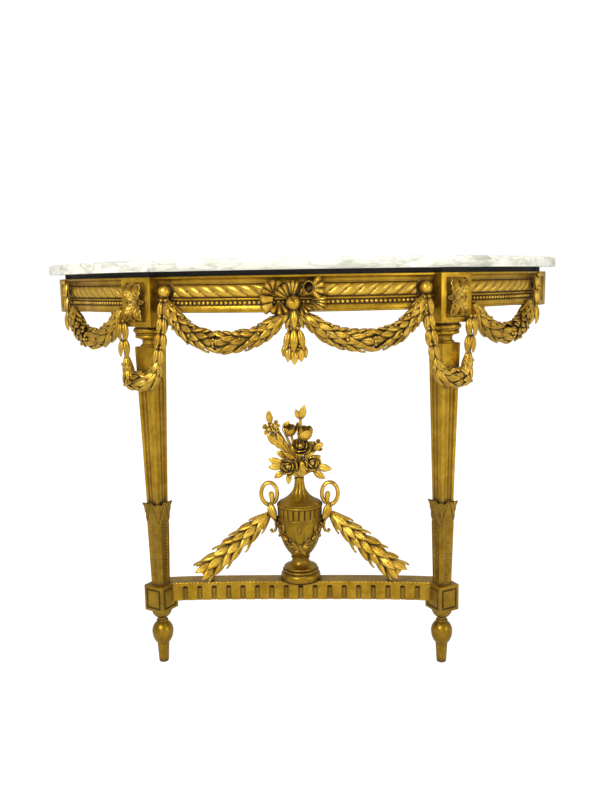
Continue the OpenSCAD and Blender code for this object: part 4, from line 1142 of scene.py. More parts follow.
# Turns and sizes of a rosette's leaves, the long ones last
ROSETTE_LEAVES = ((0, 0.58), (180, 0.58), (90, 0.92), (270, 0.92), (62, 1.00), (118, 1.00), (242, 1.00),
                  (298, 1.00))
ROSETTE_SEAT = 0.0035
ROSETTE_HEART_R = 0.002
ROSETTE_UNDER = 0.001
ROSETTE_OVER = 0.002
ROSETTE_BUDS = 6
BUD_RING_R = 0.0042
BUD_OUT = 0.0075
BUD_R = 0.0028
EYE_OUT = 0.0085
EYE_R = 0.0036


def rosettes():
    """Leaf rosettes in the panels of the leg blocks."""
    for name, side in SIDES.items():
        bm = bmesh.new()
        low, high = heights(f"{name}_rosette")
        centre = at_leg(side) @ Vector((0, -BLOCK_W / 2 + ROSETTE_SEAT, (low + high) / 2))
        place = Matrix.Translation(centre) @ Matrix.Rotation(math.radians(side * LEG_TURN), 4, "Z")
        for turn, size in ROSETTE_LEAVES:
            a = math.radians(turn)
            fore = Vector((math.cos(a), 0, math.sin(a)))
            root = fore * ROSETTE_HEART_R + OUT * (ROSETTE_UNDER if size < 1 else ROSETTE_OVER)
            add_form(bm, ACANTHUS, place @ facing(root, fore + OUT * 0.1, OUT, size))
        for k in range(ROSETTE_BUDS):
            a = math.radians(60 * k + 20)
            bud = Vector((BUD_RING_R * math.cos(a), -BUD_OUT, BUD_RING_R * math.sin(a)))
            add_berry(bm, place @ bud, BUD_R)
        add_berry(bm, place @ Vector((0, -EYE_OUT, 0)), EYE_R)
        finish_piece(f"acanthus_{name}_rosette", bm, ORNAMENT, [f"{name}_rosette"])


STRETCHER_LOW, STRETCHER_TOP = heights("stretcher")
STRETCHER_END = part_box("stretcher")[1].x
STRETCHER_D = 0.042
STRETCHER_BOW = 0.011
STRETCHER_BEND = 3.5
STRETCHER_ARRIS = 0.0012
STRETCHER_BACK_ARRIS = 0.001
STRETCHER_END_IN = 0.001
STRETCHER_FACE_DROPS = (STRETCHER_ARRIS, 0.004, 0.007)
STRETCHER_FLUTES = 17
STRETCHER_PITCH = 0.0315
STRETCHER_FLUTE_W = 0.0118
STRETCHER_FLUTE_SINK = 0.0055
STRETCHER_FLUTE_DOWN = 0.0075
STRETCHER_REED_SHARE = 0.95
STRETCHER_REED_W_SHARE = 0.62
ARCH_Z = STRETCHER_TOP - STRETCHER_FLUTE_DOWN - STRETCHER_FLUTE_W / 2
ARCH_SHARES = (0.98, 0.9, 0.75, 0.5, 0.2)
FLUTE_PLACE_SHARES = (-1.5, -1.01, -0.97, -0.85, -0.6, -0.3, 0, 0.3, 0.6, 0.85, 0.97, 1.01)
END_SHARE = 0.985
LEAST_FLUTE_HALF = 0.0004


def flute_sink(x, z):
    """Depth of the stretcher's flutes at a place along it and a height: arched at the top,
    with a reed in each below the arch."""
    half = STRETCHER_FLUTE_W / 2
    arched = z > ARCH_Z
    wide = half * max(0.0, 1 - ((z - ARCH_Z) / half) ** 2) ** 0.5 if arched else half
    off = abs((x / STRETCHER_PITCH + 0.5) % 1 - 0.5) * STRETCHER_PITCH
    across = off / max(wide, LEAST_FLUTE_HALF)
    if across >= 1 or abs(x) >= STRETCHER_PITCH * STRETCHER_FLUTES / 2:
        return 0.0
    sink = STRETCHER_FLUTE_SINK * (1 - across ** 2) ** 0.5 * min(1.0, wide / half * 1.2)
    return sink if arched else sink * (1 - STRETCHER_REED_SHARE * bell(across, STRETCHER_REED_W_SHARE))


def stretcher_section(x):
    """Section across the curved stretcher at a place along it, square to its curve."""
    bow = STRETCHER_BOW * min(1.0, abs(x) / STRETCHER_END) ** STRETCHER_BEND
    slope = -STRETCHER_BEND * bow / max(abs(x), 0.001) * (1 if x > 0 else -1)
    inward = Vector((-slope, 1, 0)).normalized()
    at = Vector((x, URN_Y - STRETCHER_D / 2 - bow, 0))
    face = [STRETCHER_TOP - drop for drop in STRETCHER_FACE_DROPS]
    face += [ARCH_Z + STRETCHER_FLUTE_W / 2 * s for s in ARCH_SHARES]
    face += [mix(ARCH_Z, STRETCHER_LOW, s) for s in (0.0, 0.5, 1.0)]
    points = [(flute_sink(x, z), z) for z in face]
    points += [(STRETCHER_D, STRETCHER_LOW), (STRETCHER_D, STRETCHER_TOP - STRETCHER_BACK_ARRIS),
               (STRETCHER_D - STRETCHER_BACK_ARRIS, STRETCHER_TOP), (STRETCHER_ARRIS, STRETCHER_TOP)]
    return [at + inward * deep + UP * z for deep, z in points]


def stretcher():
    """Curved stretcher with arched flutes in front."""
    end = STRETCHER_END - STRETCHER_END_IN
    places = [-end, -end * END_SHARE, end * END_SHARE, end]
    for k in range(STRETCHER_FLUTES):
        centre = (k - (STRETCHER_FLUTES - 1) / 2) * STRETCHER_PITCH
        places += [centre + STRETCHER_FLUTE_W / 2 * s for s in FLUTE_PLACE_SHARES]
    bm = bmesh.new()
    loft(bm, [stretcher_section(x) for x in sorted(places)])
    finish_piece("fluted_stretcher", bm, HATCHED, ["stretcher"], sharp=math.radians(30))


# Urn

URN_R = 0.0475
RIM_R = 0.0495
BAND_Z = LID_Z - 0.032
BOWL_Z = BAND_Z - 0.084
BOWL_LOW_R = 0.0165
BOWL_STEPS = 22
ON_AXIS = 0.001

# Rings of the urn as (radius, height, half-width, half-height), and its hollow as (radius, height)
BASE_R = 0.0405
BASE_RING = (0.0365, 0.0095, 0.0068, 0.0092)
STEP_RINGS = ((0.0355, 0.0222, 0.0042, 0.0030), (0.0325, 0.0286, 0.0038, 0.0028))
BASE_HOLLOW = ((0.0305, 0.0325), (0.0262, 0.0345), (0.0215, 0.0385), (0.0188, 0.0435), (0.0185, 0.047))
STEM_RING = (0.0185, 0.0505, 0.0022, 0.0022)
TORUS_R = 0.0022
BAND_QUIRK = 0.0005
BAND_FACE = 0.0035
BAND_LOW = 0.005
BAND_HIGH = 0.024
RIM_SEAT = 0.004
RIM_DOWN = 0.0035
RIM_HALF_W = 0.0028
RIM_HALF_H = 0.0032


def at_urn(x, y, z):
    """Point beside the urn's axis; a lower y is nearer the front."""
    return Vector((x, URN_Y + y, z))


def bowl_radius(z):
    """Radius of the bowl at a height."""
    up = clamp((z - BOWL_Z) / (BAND_Z - BOWL_Z))
    return mix(BOWL_LOW_R, URN_R, math.sin(math.pi / 2 * up ** 0.72) ** 0.9)


def ring_at(ring, z, first=-80, last=80, count=6):
    """Points of a ring whose height is counted from z."""
    radius, high, wide, tall = ring
    return arc(radius, z + high, wide, tall, first, last, count)


def urn_profile():
    """Foot with three rings, stem, bowl, torus, band and rim."""
    z = LOWER_BLOCK_TOP
    points = [(0, z), (BASE_R, z)] + ring_at(BASE_RING, z, last=75, count=9)
    for ring in STEP_RINGS:
        points += ring_at(ring, z)
    points += [(r, z + high) for r, high in BASE_HOLLOW] + ring_at(STEM_RING, z, count=5)
    for k in range(1, BOWL_STEPS + 1):
        height = mix(BOWL_Z, BAND_Z - TORUS_R + BAND_QUIRK * 0.4, k / BOWL_STEPS)
        points.append((bowl_radius(height), height))
    points += arc(URN_R, BAND_Z, TORUS_R, TORUS_R, -80, 80, 6)
    points += [(URN_R, BAND_Z + BAND_FACE), (URN_R - BAND_QUIRK, BAND_Z + BAND_LOW),
               (URN_R, BAND_Z + BAND_HIGH), (URN_R + BAND_QUIRK * 2, BAND_Z + BAND_HIGH + BAND_QUIRK * 2)]
    points += arc(RIM_R - BAND_QUIRK * 5, LID_Z - RIM_DOWN, RIM_HALF_W, RIM_HALF_H, -80, 80, 6)
    return points + [(RIM_R - RIM_SEAT, LID_Z), (0, LID_Z)]


def urn_turn(v):
    """Turn of a point about the urn's axis, as a share of a full turn."""
    return math.atan2(v.co.y - URN_Y, v.co.x) / (2 * math.pi)


def push_out(v, push):
    """Moves a point away from the urn's axis, unless it lies on it."""
    radius = math.hypot(v.co.x, v.co.y - URN_Y)
    if radius > ON_AXIS:
        share = 1 + push / radius
        v.co.x *= share
        v.co.y = URN_Y + (v.co.y - URN_Y) * share


BAND_FLUTES = 24
BAND_SWELL = 0.0010
BAND_CUT = 0.0030
CUT_SHARE = 0.80
BOWL_LOBES = 12
BOWL_LOBE_OUT = 0.0022
BOWL_LOBE_MEAN = 0.6
BOWL_PLAIN_H = 0.004


def carve_urn(points):
    """Sinks flutes into the rim band and raises drops on the bowl."""
    for v in points:
        if BAND_LOW - BAND_QUIRK < v.co.z - BAND_Z < BAND_HIGH + BAND_QUIRK:
            near = abs((urn_turn(v) * BAND_FLUTES) % 1 - 0.5) * 2
            push_out(v, BAND_SWELL * (1 - near ** 2) - (BAND_CUT if near > CUT_SHARE else 0.0))
        elif BOWL_Z < v.co.z < BAND_Z - BOWL_PLAIN_H:
            up = (v.co.z - BOWL_Z) / (BAND_Z - BOWL_Z)
            lobe = abs(math.cos(math.pi * urn_turn(v) * BOWL_LOBES)) ** 0.6
            push_out(v, BOWL_LOBE_OUT * (lobe - BOWL_LOBE_MEAN) * math.sin(math.pi * up))


BOWL_SWAG_LOW = BAND_Z - 0.060
BOWL_SWAG_TOP = BAND_Z - 0.004
BOWL_SWAG_SINK = 0.0015
BOWL_SWAG_END_R = 0.0030
BOWL_SWAG_MID_R = 0.0062
BOWL_SWAG_STEP = 0.010
BOWL_SWAG_RINGS = ((0, 70, -70), (35, -35))
BOWL_SWAGS = ((-80, 80, 51), (100, 260, 52))


def bowl_swag_line(start, end):
    """Line of a small swag on the bowl, between two turns from the front."""
    def line(t):
        z = mix(BOWL_SWAG_LOW, BOWL_SWAG_TOP, abs(2 * t - 1) ** 1.5)
        out = way_out(mix(start, end, t))
        radius = mix(BOWL_SWAG_END_R, BOWL_SWAG_MID_R, hump(t))
        return at_urn(0, 0, z) + out * (bowl_radius(z) - BOWL_SWAG_SINK), out, radius
    return line


BOWL_FLOWER_Z = BAND_Z - 0.058
BOWL_FLOWER_OUT = 0.004
BOWL_FLOWER_EYE_R = 0.0042
TORUS_LEAVES = 8
TORUS_LEAF_Z = BAND_Z - 0.007


def bowl_flower(bm, turn):
    """Four leaves and an eye under the middle of a swag."""
    out = way_out(turn)
    at = at_urn(0, 0, BOWL_FLOWER_Z) + out * (bowl_radius(BOWL_SWAG_LOW) + BOWL_FLOWER_OUT)
    side = out.cross(UP)
    for way in (-1, 1):
        add_form(bm, PETAL_LEAF, facing(at, side * way * 0.7 - UP * 0.75 + out * 0.15, out))
        add_form(bm, PETAL_LEAF, facing(at, side * way + UP * 0.25 + out * 0.2, out, 1.15))
    add_berry(bm, at + out * BOWL_FLOWER_OUT / 2, BOWL_FLOWER_EYE_R)


def urn():
    """Urn with its rim band, its lobed bowl, its swags and the leaves under the torus."""
    bm = bmesh.new()
    carve_urn(turned(bm, urn_profile(), BAND_FLUTES * 8, Matrix.Translation((0, URN_Y, 0))))
    for start, end, seed in BOWL_SWAGS:
        garland(bm, bowl_swag_line(start, end), PETAL_LEAF, BOWL_SWAG_STEP, seed, turns=BOWL_SWAG_RINGS)
    for turn in (0, 180):
        bowl_flower(bm, turn)
    for k in range(TORUS_LEAVES):
        out = way_out(360 * k / TORUS_LEAVES)
        root = at_urn(0, 0, TORUS_LEAF_Z) + out * (bowl_radius(TORUS_LEAF_Z) + 0.0002)
        add_form(bm, PETAL_LEAF, facing(root, -UP, out, 0.95))
    finish_piece("carved_urn", bm, MOULDING, ["urn"])


LID_LEAVES = 9
LID_LEAF_OUT = 0.0030
LID_LEAF_MEAN = 0.7
LID_STEPS = 26
LID_RIM = 0.003
LID_LIP = 0.002
LID_NECK_R = 0.0102
LID_HOLLOW = 3.0


def lid_profile():
    """Hollow-sided lid that ends in a ring at its neck."""
    rise = NECK_Z - LID_Z
    points = [(0, LID_Z), (RIM_R - LID_RIM, LID_Z)]
    for k in range(LID_STEPS + 1):
        up = k / LID_STEPS
        radius = mix(LID_NECK_R, RIM_R - LID_RIM - BAND_QUIRK, (1 - up) ** LID_HOLLOW)
        points.append((radius, LID_Z + LID_LIP + (rise - LID_LIP * 3) * up))
    points += arc(LID_NECK_R - LID_LIP / 2, NECK_Z - TORUS_R, LID_LIP, LID_LIP, -80, 80, 5)
    return points + [(LID_NECK_R - LID_LIP, NECK_Z), (0, NECK_Z)]


def lid():
    """Lid with carved leaves up to its neck."""
    bm = bmesh.new()
    for v in turned(bm, lid_profile(), LID_LEAVES * 16, Matrix.Translation((0, URN_Y, 0))):
        up = (v.co.z - LID_Z) / (NECK_Z - LID_Z)
        if 0.1 < up < 0.9:
            lobe = abs(math.cos(math.pi * urn_turn(v) * LID_LEAVES)) ** 0.5
            push_out(v, LID_LEAF_OUT * (lobe - LID_LEAF_MEAN) * math.sin(math.pi * up))
    finish_piece("leafy_lid", bm, MOULDING, ["urn_lid"])


LOOP_X = 0.0655
LOOP_Z = LID_Z + 0.020
LOOP_RX = 0.0175
LOOP_RZ = 0.0245
LOOP_STEPS = 32
LOOP_FROM = 238
LOOP_TO = -82
HANDLE_R = 0.0041
HANDLE_END_R = 0.0046
HANDLE_FLAT = 1.3

# Points of the tail and the bud as (x, height over the urn's edge, radius)
HANDLE_TAIL = ((0.0650, -0.009, 0.0046), (0.0590, -0.018, 0.0058), (0.0545, -0.030, 0.0056),
               (0.0520, -0.042, 0.0042), (0.0515, -0.054, 0.0032), (0.0545, -0.0635, 0.0030),
               (0.0605, -0.0655, 0.0034), (0.0635, -0.0600, 0.0042))
HANDLE_BUD = ((0.0620, -0.006, 0.0056), (0.0600, 0.002, 0.0046), (0.0595, 0.010, 0.0052),
              (0.0605, 0.017, 0.0064), (0.0620, 0.022, 0.0054), (0.0630, 0.0245, 0.0020))
HANDLE_LEAF_SIZE = 1.15
HANDLE_LEAF_APART = 0.010
LOW_LEAF = (0.0535, 0, LID_Z - 0.040)
TOP_LEAF = (0.064, -0.004, LID_Z + 0.002)


def handle_scroll(bm, side):
    """The handle's loop and its tail, which ends in a curl."""
    path, radii = [], []
    for k in range(LOOP_STEPS + 1):
        t = k / LOOP_STEPS
        a = math.radians(mix(LOOP_FROM, LOOP_TO, t))
        path.append(at_urn(side * (LOOP_X + LOOP_RX * math.cos(a)), 0, LOOP_Z + LOOP_RZ * math.sin(a)))
        radii.append(mix(HANDLE_R, HANDLE_END_R, t))
    path += [at_urn(side * x, 0, LID_Z + z) for x, z, radius in HANDLE_TAIL]
    radii += [radius for x, z, radius in HANDLE_TAIL]
    tube(bm, path, radii, Vector((side, 0, 0.3)), sides=12, flat=HANDLE_FLAT)


def handle_leaves(bm, side):
    """Leaves at the foot of the handle and where the garland starts."""
    for spread in (-0.5, 0, 0.5):
        apart = spread * HANDLE_LEAF_APART
        x, y, z = LOW_LEAF
        fore, up = Vector((side * 0.42, spread * 0.35, 1)), Vector((side, spread * 1.2, 0.2))
        add_form(bm, SMALL, facing(at_urn(side * x, y + apart, z), fore, up, HANDLE_LEAF_SIZE))
        x, y, z = TOP_LEAF
        fore, up = Vector((-side * 0.40, -0.1 + spread * 0.3, -1)), Vector((side * 0.5, -1 + spread, 0.2))
        add_form(bm, SMALL, facing(at_urn(side * x, y + apart, z), fore, up, HANDLE_LEAF_SIZE))


def handles():
    """Looped handles with a bud inside, leaves at the foot and a curl below."""
    for name, side in SIDES.items():
        bm = bmesh.new()
        handle_scroll(bm, side)
        bud = [at_urn(side * x, -0.001, LID_Z + z) for x, z, radius in HANDLE_BUD]
        tube(bm, bud, [radius for x, z, radius in HANDLE_BUD], Vector((side, 0, 0)), sides=12)
        handle_leaves(bm, side)
        finish_piece(f"scroll_{name}_handle", bm, ORNAMENT, [f"{name}_handle"])


# Bouquet

# Rings of petals as (count, size, rise and half-spread in degrees)
ROSE = ((5, 1.0, 80, 44), (4, 0.76, 102, 48), (3, 0.50, 126, 56))
TULIP = ((3, 1.0, 118, 58), (3, 0.90, 126, 58))
BLOSSOM = ((5, 1.0, 78, 33), (5, 0.45, 92, 34))
PETAL_CELLS = (9, 8)
PETAL_WALL = 0.0017
PETAL_ROOT_SHARE = 0.35
PETAL_NOTCH_SHARE = 0.12
PETAL_LIP_SHARE = 0.10
PETAL_TILT_PLAY = 13
PETAL_SIZE_SHARES = (0.84, 1.14)
HEART_SHARE = 0.38
HEART_DOWN_SHARE = 0.45


def petal_form(radius, rise, spread):
    """A cupped petal on a ball, from its lower pole up to a height in degrees."""
    def place(up, t):
        across = 2 * t - 1
        wide = math.radians(spread) * mix(PETAL_ROOT_SHARE, 1, hump(min(1, up * 0.94 + 0.03), 0.5))
        tip = math.radians(rise) * up * (1 - PETAL_NOTCH_SHARE * across ** 2 * up)
        r = radius * (1 + PETAL_LIP_SHARE * up ** 6)
        level = r * math.sin(tip)
        return level * math.cos(wide * across), level * math.sin(wide * across), -r * math.cos(tip)
    return shaped_sheet("petal", PETAL_CELLS, PETAL_WALL, place)


def flower(bm, at, way, radius, rings, tall):
    """Flower of rings of petals, which opens towards way."""
    dice = random.Random(round(at.x * 1e5))
    z = way.normalized()
    x = z.orthogonal().normalized()
    place = Matrix((x, z.cross(x), z)).transposed().to_4x4() @ Matrix.Diagonal((1, 1, tall, 1))
    place.translation = at
    for k, (count, share, rise, spread) in enumerate(rings):
        petal = petal_form(radius * share, rise, spread)
        for n in range(count):
            turn = Matrix.Rotation(2 * math.pi * (n + 0.5 * (k % 2)) / count, 4, "Z")
            tilt = Matrix.Rotation(math.radians(dice.uniform(-PETAL_TILT_PLAY, PETAL_TILT_PLAY)), 4, "Y")
            size = Matrix.Scale(dice.uniform(*PETAL_SIZE_SHARES), 4)
            add_form(bm, petal, place @ turn @ tilt @ size)
        bpy.data.meshes.remove(petal)
    add_berry(bm, at - z * radius * tall * HEART_DOWN_SHARE, radius * HEART_SHARE)


STEM_STEPS = 8
STEM_BEND = 1.5
STEM_SINK = 0.003
STEM_LOW_R = 0.0044
STEM_TOP_R = 0.0026


def stem(bm, end):
    """Stem from the urn's neck to a point, upwards first."""
    start = at_urn(0, 0, NECK_Z - STEM_SINK)
    shares = [k / STEM_STEPS for k in range(STEM_STEPS + 1)]
    path = []
    for t in shares:
        level = start.lerp(end, t ** STEM_BEND)
        path.append(Vector((level.x, level.y, mix(start.z, end.z, t))))
    tube(bm, path, [mix(STEM_LOW_R, STEM_TOP_R, t) for t in shares], Vector((1, 0, 0)), sides=8)


# Flowers as (x, y, z, radius, rings, way, tallness) and leaves as (x, y, z, turn, size)
FLOWERS = (
    (-0.024, -0.016, 0.434, 0.0185, ROSE, (-0.30, -1, 0.15), 0.6),
    (0.030, -0.016, 0.441, 0.0178, ROSE, (0.45, -1, 0.15), 0.6),
    (0.004, -0.012, 0.480, 0.0205, ROSE, (0.05, -0.75, 0.8), 0.6),
    (-0.018, -0.002, 0.512, 0.0140, TULIP, (-0.15, -0.25, 1), 1.15),
    (0.014, -0.006, 0.507, 0.0160, TULIP, (0.2, -0.3, 1), 1.1),
    (-0.063, 0.000, 0.512, 0.0165, BLOSSOM, (-0.25, -1, 0.1), 0.45),
    (-0.048, -0.004, 0.520, 0.0110, BLOSSOM, (0.3, -1, 0.3), 0.5),
    (0.042, -0.004, 0.478, 0.0130, BLOSSOM, (0.4, -1, 0.3), 0.5),
    (-0.010, 0.020, 0.445, 0.0180, ROSE, (-0.2, 1, 0.3), 0.6),
    (0.022, 0.018, 0.470, 0.0165, ROSE, (0.4, 1, 0.4), 0.6))
SPRAYS = (
    (0.006, 0, 0.533, 76, 0.92), (0.004, 0.002, 0.533, 114, 0.70), (0.036, -0.006, 0.432, -8, 1.0),
    (0.030, -0.008, 0.424, -34, 0.90), (0.030, -0.004, 0.466, 38, 0.80), (-0.034, -0.006, 0.438, 158, 0.95),
    (-0.034, -0.008, 0.434, 184, 0.90), (-0.030, -0.008, 0.424, 214, 0.80), (-0.030, 0.000, 0.470, 140, 0.95),
    (-0.034, -0.002, 0.478, 112, 0.80), (-0.044, -0.002, 0.478, 132, 0.95), (-0.060, 0.001, 0.524, 96, 0.85),
    (-0.034, 0.004, 0.514, 48, 0.62), (-0.020, -0.010, 0.420, 262, 0.72), (0.006, -0.016, 0.446, 285, 0.75),
    (0.018, 0.016, 0.440, 20, 0.9), (-0.022, 0.016, 0.446, 150, 0.9), (0.0, 0.014, 0.500, 95, 0.75),
    (0.012, -0.010, 0.452, 30, 0.7), (-0.008, -0.010, 0.450, 150, 0.7))


def bouquet():
    """Bouquet of roses, tulips, a flowering branch and leaves."""
    bm = bmesh.new()
    for x, y, z, radius, rings, way, tall in FLOWERS:
        at = at_urn(x, y, z)
        stem(bm, at - Vector(way).normalized() * radius * 0.6)
        flower(bm, at, Vector(way), radius, rings, tall)
    for x, y, z, turn, size in SPRAYS:
        at = at_urn(x, y, z)
        a = math.radians(turn)
        stem(bm, at)
        add_form(bm, SPRAY, facing(at, Vector((math.cos(a), -0.12, math.sin(a))), OUT, size))
    finish_piece("flower_spray", bm, ORNAMENT, ["flower_bouquet"])


# Bow and pendant

BOW_Z = 0.7845
FOLD_SHARE = 1.3
PLEAT_CELLS = 12
RIBBON_CELLS = 14
RIBBON_T = 0.0016
RIBBON_CURL = 0.064
RIBBON_ARCH_SHARE = 0.62

# Fans as (x, z, first turn, last turn, inner radius, outer radius, pleats, fold, depth near, depth far)
FANS = (
    (-0.036, 0.017, 48, 180, 0.003, 0.0250, 4, 0.0042, 0.008, 0.020),
    (-0.020, 0.006, 165, 190, 0.020, 0.0430, 1, 0.0012, 0.012, 0.014),
    (-0.016, 0.006, 190, 218, 0.026, 0.0490, 1, 0.0016, 0.010, 0.011),
    (-0.0265, 0.004, 222, 318, 0.004, 0.0285, 3, 0.0044, 0.009, 0.021),
    (-0.003, 0.006, 62, 108, 0.006, 0.0350, 3, 0.0026, 0.011, 0.017),
    (-0.008, 0.008, 98, 166, 0.004, 0.0270, 3, 0.0042, 0.018, 0.027),
    (0.011, 0.006, 36, 76, 0.010, 0.0220, 3, 0.0026, 0.014, 0.019),
    (0.031, 0.027, -60, 60, 0.0105, 0.0290, 4, 0.0042, 0.019, 0.012),
    (0.032, 0.004, -42, 14, 0.005, 0.0305, 4, 0.0032, 0.009, 0.018),
    (0.012, 0.000, -88, -20, 0.006, 0.0275, 3, 0.0036, 0.010, 0.021))
KNOT_STEPS = 60
KNOT_R = 0.0142
KNOT_OUT = 0.0155
KNOT_DEEP = 0.0125
KNOT_PLEAT = 0.0050
KNOT_EYE_R = 0.007
KNOT_PLEATS_AT = 1.65
KNOT_PLEATS_SPAN = 0.85
EYELET = ((0.0075, 0.002), (0.0085, 0.006), (0.0092, 0.014), (0.0098, 0.022), (0.0108, 0.0232),
          (0.0120, 0.0220), (0.0124, 0.008), (0.0115, 0.002))
EYELET_STEPS = 32
EYELET_AT = (0.030, 0, 0.0285)
EYELET_SHARES = (0.88, 1, 1.08, 1)


def ribbon_fan(bm, x, z, start, end, inner, outer, pleats, fold, near, far):
    """Adds a pleated ribbon that spreads about a point between two turns."""
    def place(share, u):
        a = math.radians(mix(start, end, share))
        wave = 2 * abs(math.sin(math.pi * pleats * share)) ** 0.8 - 1
        r = mix(inner, outer, u) * (1 + 0.03 * wave)
        ends = clamp(min(share, 1 - share) * 7)
        deep = mix(near, far, math.sin(math.pi * RIBBON_ARCH_SHARE * u)) * mix(0.72, 1, ends ** 0.5)
        deep -= RIBBON_CURL * max(0, u - 0.8) ** 1.3
        return x + r * math.cos(a), -deep - wave * fold * FOLD_SHARE * clamp(u) ** 0.7, z + r * math.sin(a)
    mesh = shaped_sheet("ribbon", (pleats * PLEAT_CELLS, RIBBON_CELLS), RIBBON_T, place, pointed=False)
    add_form(bm, mesh, Matrix())
    bpy.data.meshes.remove(mesh)


def bow():
    """Pleated ribbon bow with a ball knot and an open loop."""
    bm = bmesh.new()
    for fan in FANS:
        ribbon_fan(bm, *fan)
    forward = Matrix.Rotation(math.radians(90), 4, "X")
    for v in turned(bm, arc(0, KNOT_OUT, KNOT_R, KNOT_DEEP, -90, 90, 24), KNOT_STEPS, forward):
        a = math.atan2(v.co.z, v.co.x)
        pleated = bell(a - KNOT_PLEATS_AT, KNOT_PLEATS_SPAN) * min(1, math.hypot(v.co.x, v.co.z) / KNOT_EYE_R)
        v.co.y += KNOT_PLEAT * math.sin(a * 4) ** 2 * pleated
    eye = Matrix.Translation(EYELET_AT) @ Matrix.Diagonal(EYELET_SHARES) @ forward
    turned(bm, EYELET, EYELET_STEPS, eye)
    bmesh.ops.transform(bm, matrix=on_bow(0, FRIEZE_R, BOW_Z), verts=bm.verts[:])
    finish_piece("pleated_bow", bm, ORNAMENT, ["ribbon_bow"])


# Leaves as (x, height from the bow, lean in degrees, size, way out, form)
DROPS = (
    (0.018, -0.082, 9, 0.70, 0.001, DROP), (-0.017, -0.079, -9, 0.70, 0.000, DROP),
    (-0.005, -0.076, -4, 0.90, 0.002, DROP), (0.006, -0.076, 5, 0.90, 0.002, DROP),
    (-0.009, -0.082, -7, 0.86, 0.007, DROP), (0.010, -0.082, 7, 0.86, 0.008, DROP),
    (0.0005, -0.087, 0, 0.86, 0.012, DROP), (-0.005, -0.044, -6, 0.92, 0.003, LONG),
    (0.005, -0.044, 6, 0.92, 0.003, LONG), (-0.009, -0.053, -12, 0.88, 0.009, LONG),
    (0.010, -0.051, 12, 0.92, 0.010, LONG), (0.000, -0.050, 0, 1.0, 0.015, LONG),
    (-0.004, -0.016, -9, 0.80, 0.003, LONG), (0.005, -0.016, 11, 0.80, 0.003, LONG),
    (-0.007, -0.022, -16, 0.68, 0.007, LONG), (0.009, -0.022, 20, 0.68, 0.008, LONG),
    (-0.010, -0.016, -27, 0.68, 0.011, LONG), (0.012, -0.016, 31, 0.68, 0.011, LONG),
    (0.001, -0.012, 1, 0.86, 0.015, LONG))
DROP_BERRIES = ((-0.008, -0.082), (-0.004, -0.090), (0.007, -0.090), (0.011, -0.084), (-0.011, -0.052),
                (0.009, -0.050), (-0.005, -0.050), (0.006, -0.048))
DROP_BERRY_OUT = 0.017
DROP_BERRY_R = 0.0026
DROP_CORE = ((-0.010, 0.010), (-0.019, 0.0150), (-0.030, 0.0125), (-0.045, 0.0090), (-0.08, 0.0085),
             (-0.105, 0.004))
DROP_CORE_OUT = 0.006
DROP_CORE_FLAT = 0.6
DROP_SPLAY = 14


def pendant():
    """Three tiers of hanging leaves under the bow."""
    bm = bmesh.new()
    place = on_bow(0, FRIEZE_R, BOW_Z)
    core = [place @ Vector((0.001, -DROP_CORE_OUT, z)) for z, radius in DROP_CORE]
    tube(bm, core, [radius for z, radius in DROP_CORE], Vector((1, 0, 0)), flat=DROP_CORE_FLAT)
    for x, z, lean, size, out, form in DROPS:
        a = math.radians(lean)
        fore = Vector((math.sin(a), -0.10, -math.cos(a)))
        up = OUT + Vector((x * DROP_SPLAY, 0, 0))
        add_form(bm, form, place @ facing(Vector((x, -out, z)), fore, up, size))
    for x, z in DROP_BERRIES:
        add_berry(bm, place @ Vector((x, -DROP_BERRY_OUT, z)), DROP_BERRY_R)
    finish_piece("leaf_drop", bm, ORNAMENT, ["leaf_pendant"])


# Leaves of a tassel as (x, lean in degrees, size, way out)
TASSEL_LEAVES = ((-0.004, -13, 1.15, 0.013), (0.004, 13, 1.15, 0.013), (0, 0, 1.2, 0.018),
                 (-0.007, -27, 1.0, 0.008), (0.007, 27, 1.0, 0.008))
TASSEL_TOP_DOWN = 0.008
TASSEL_END_UP = 0.006
TASSEL_ROOT_UP = 0.002
TASSEL_CORE_OFF = 0.002
TASSEL_CORE_R = 0.0055
TASSEL_STEP = 0.030
TASSEL_SIZE = 0.9
TASSEL_SEED = 61


def tassels():
    """Slim leaf drops beside the rear blocks, with a tassel of leaves under the apron."""
    top, low = RAIL_TOP - TASSEL_TOP_DOWN, RAIL_BOTTOM + TASSEL_END_UP
    for name, side in SIDES.items():
        bm = bmesh.new()
        place = on_bow(side * DROP_TURN, FRIEZE_R, 0)

        def line(t):
            at = Vector((0, -MOULD_OUT - TASSEL_CORE_OFF, mix(top, low, t)))
            return place @ at, place.to_3x3() @ OUT, TASSEL_CORE_R
        chain(bm, line, SLIM, TASSEL_STEP, TASSEL_SEED + side, TASSEL_SIZE)
        for x, lean, size, out in TASSEL_LEAVES:
            a = math.radians(lean)
            root = Vector((x, -out, RAIL_BOTTOM + TASSEL_ROOT_UP))
            add_form(bm, DROP, place @ facing(root, Vector((math.sin(a), 0, -math.cos(a))), OUT, size))
        finish_piece(f"leafy_{name}_tassel", bm, ORNAMENT, [f"{name}_tassel"])


# Garlands of the apron

HANG = 2.5
SWAG_R = FRIEZE_R + 0.0117
SWAG_LOW = 0.708
SWAG_MID_R = 0.0168
SWAG_END_R = 0.0090
SWAG_STEP = 0.019
BERRY_RING_SHARE = 1.9
SWAG_BERRIES = 5
FRONT_SWAG_TURN = 2.0
FRONT_SWAG_Z = (FRIEZE_MID - 0.016, 0.762)
FRONT_SWAG_SEED = 11
SIDE_SWAG_TURNS = (35.1, DROP_TURN - 2.2)
SIDE_SWAG_Z = (RAIL_BOTTOM + 0.008, RAIL_BOTTOM + 0.006)
SIDE_SWAG_SEED = 21


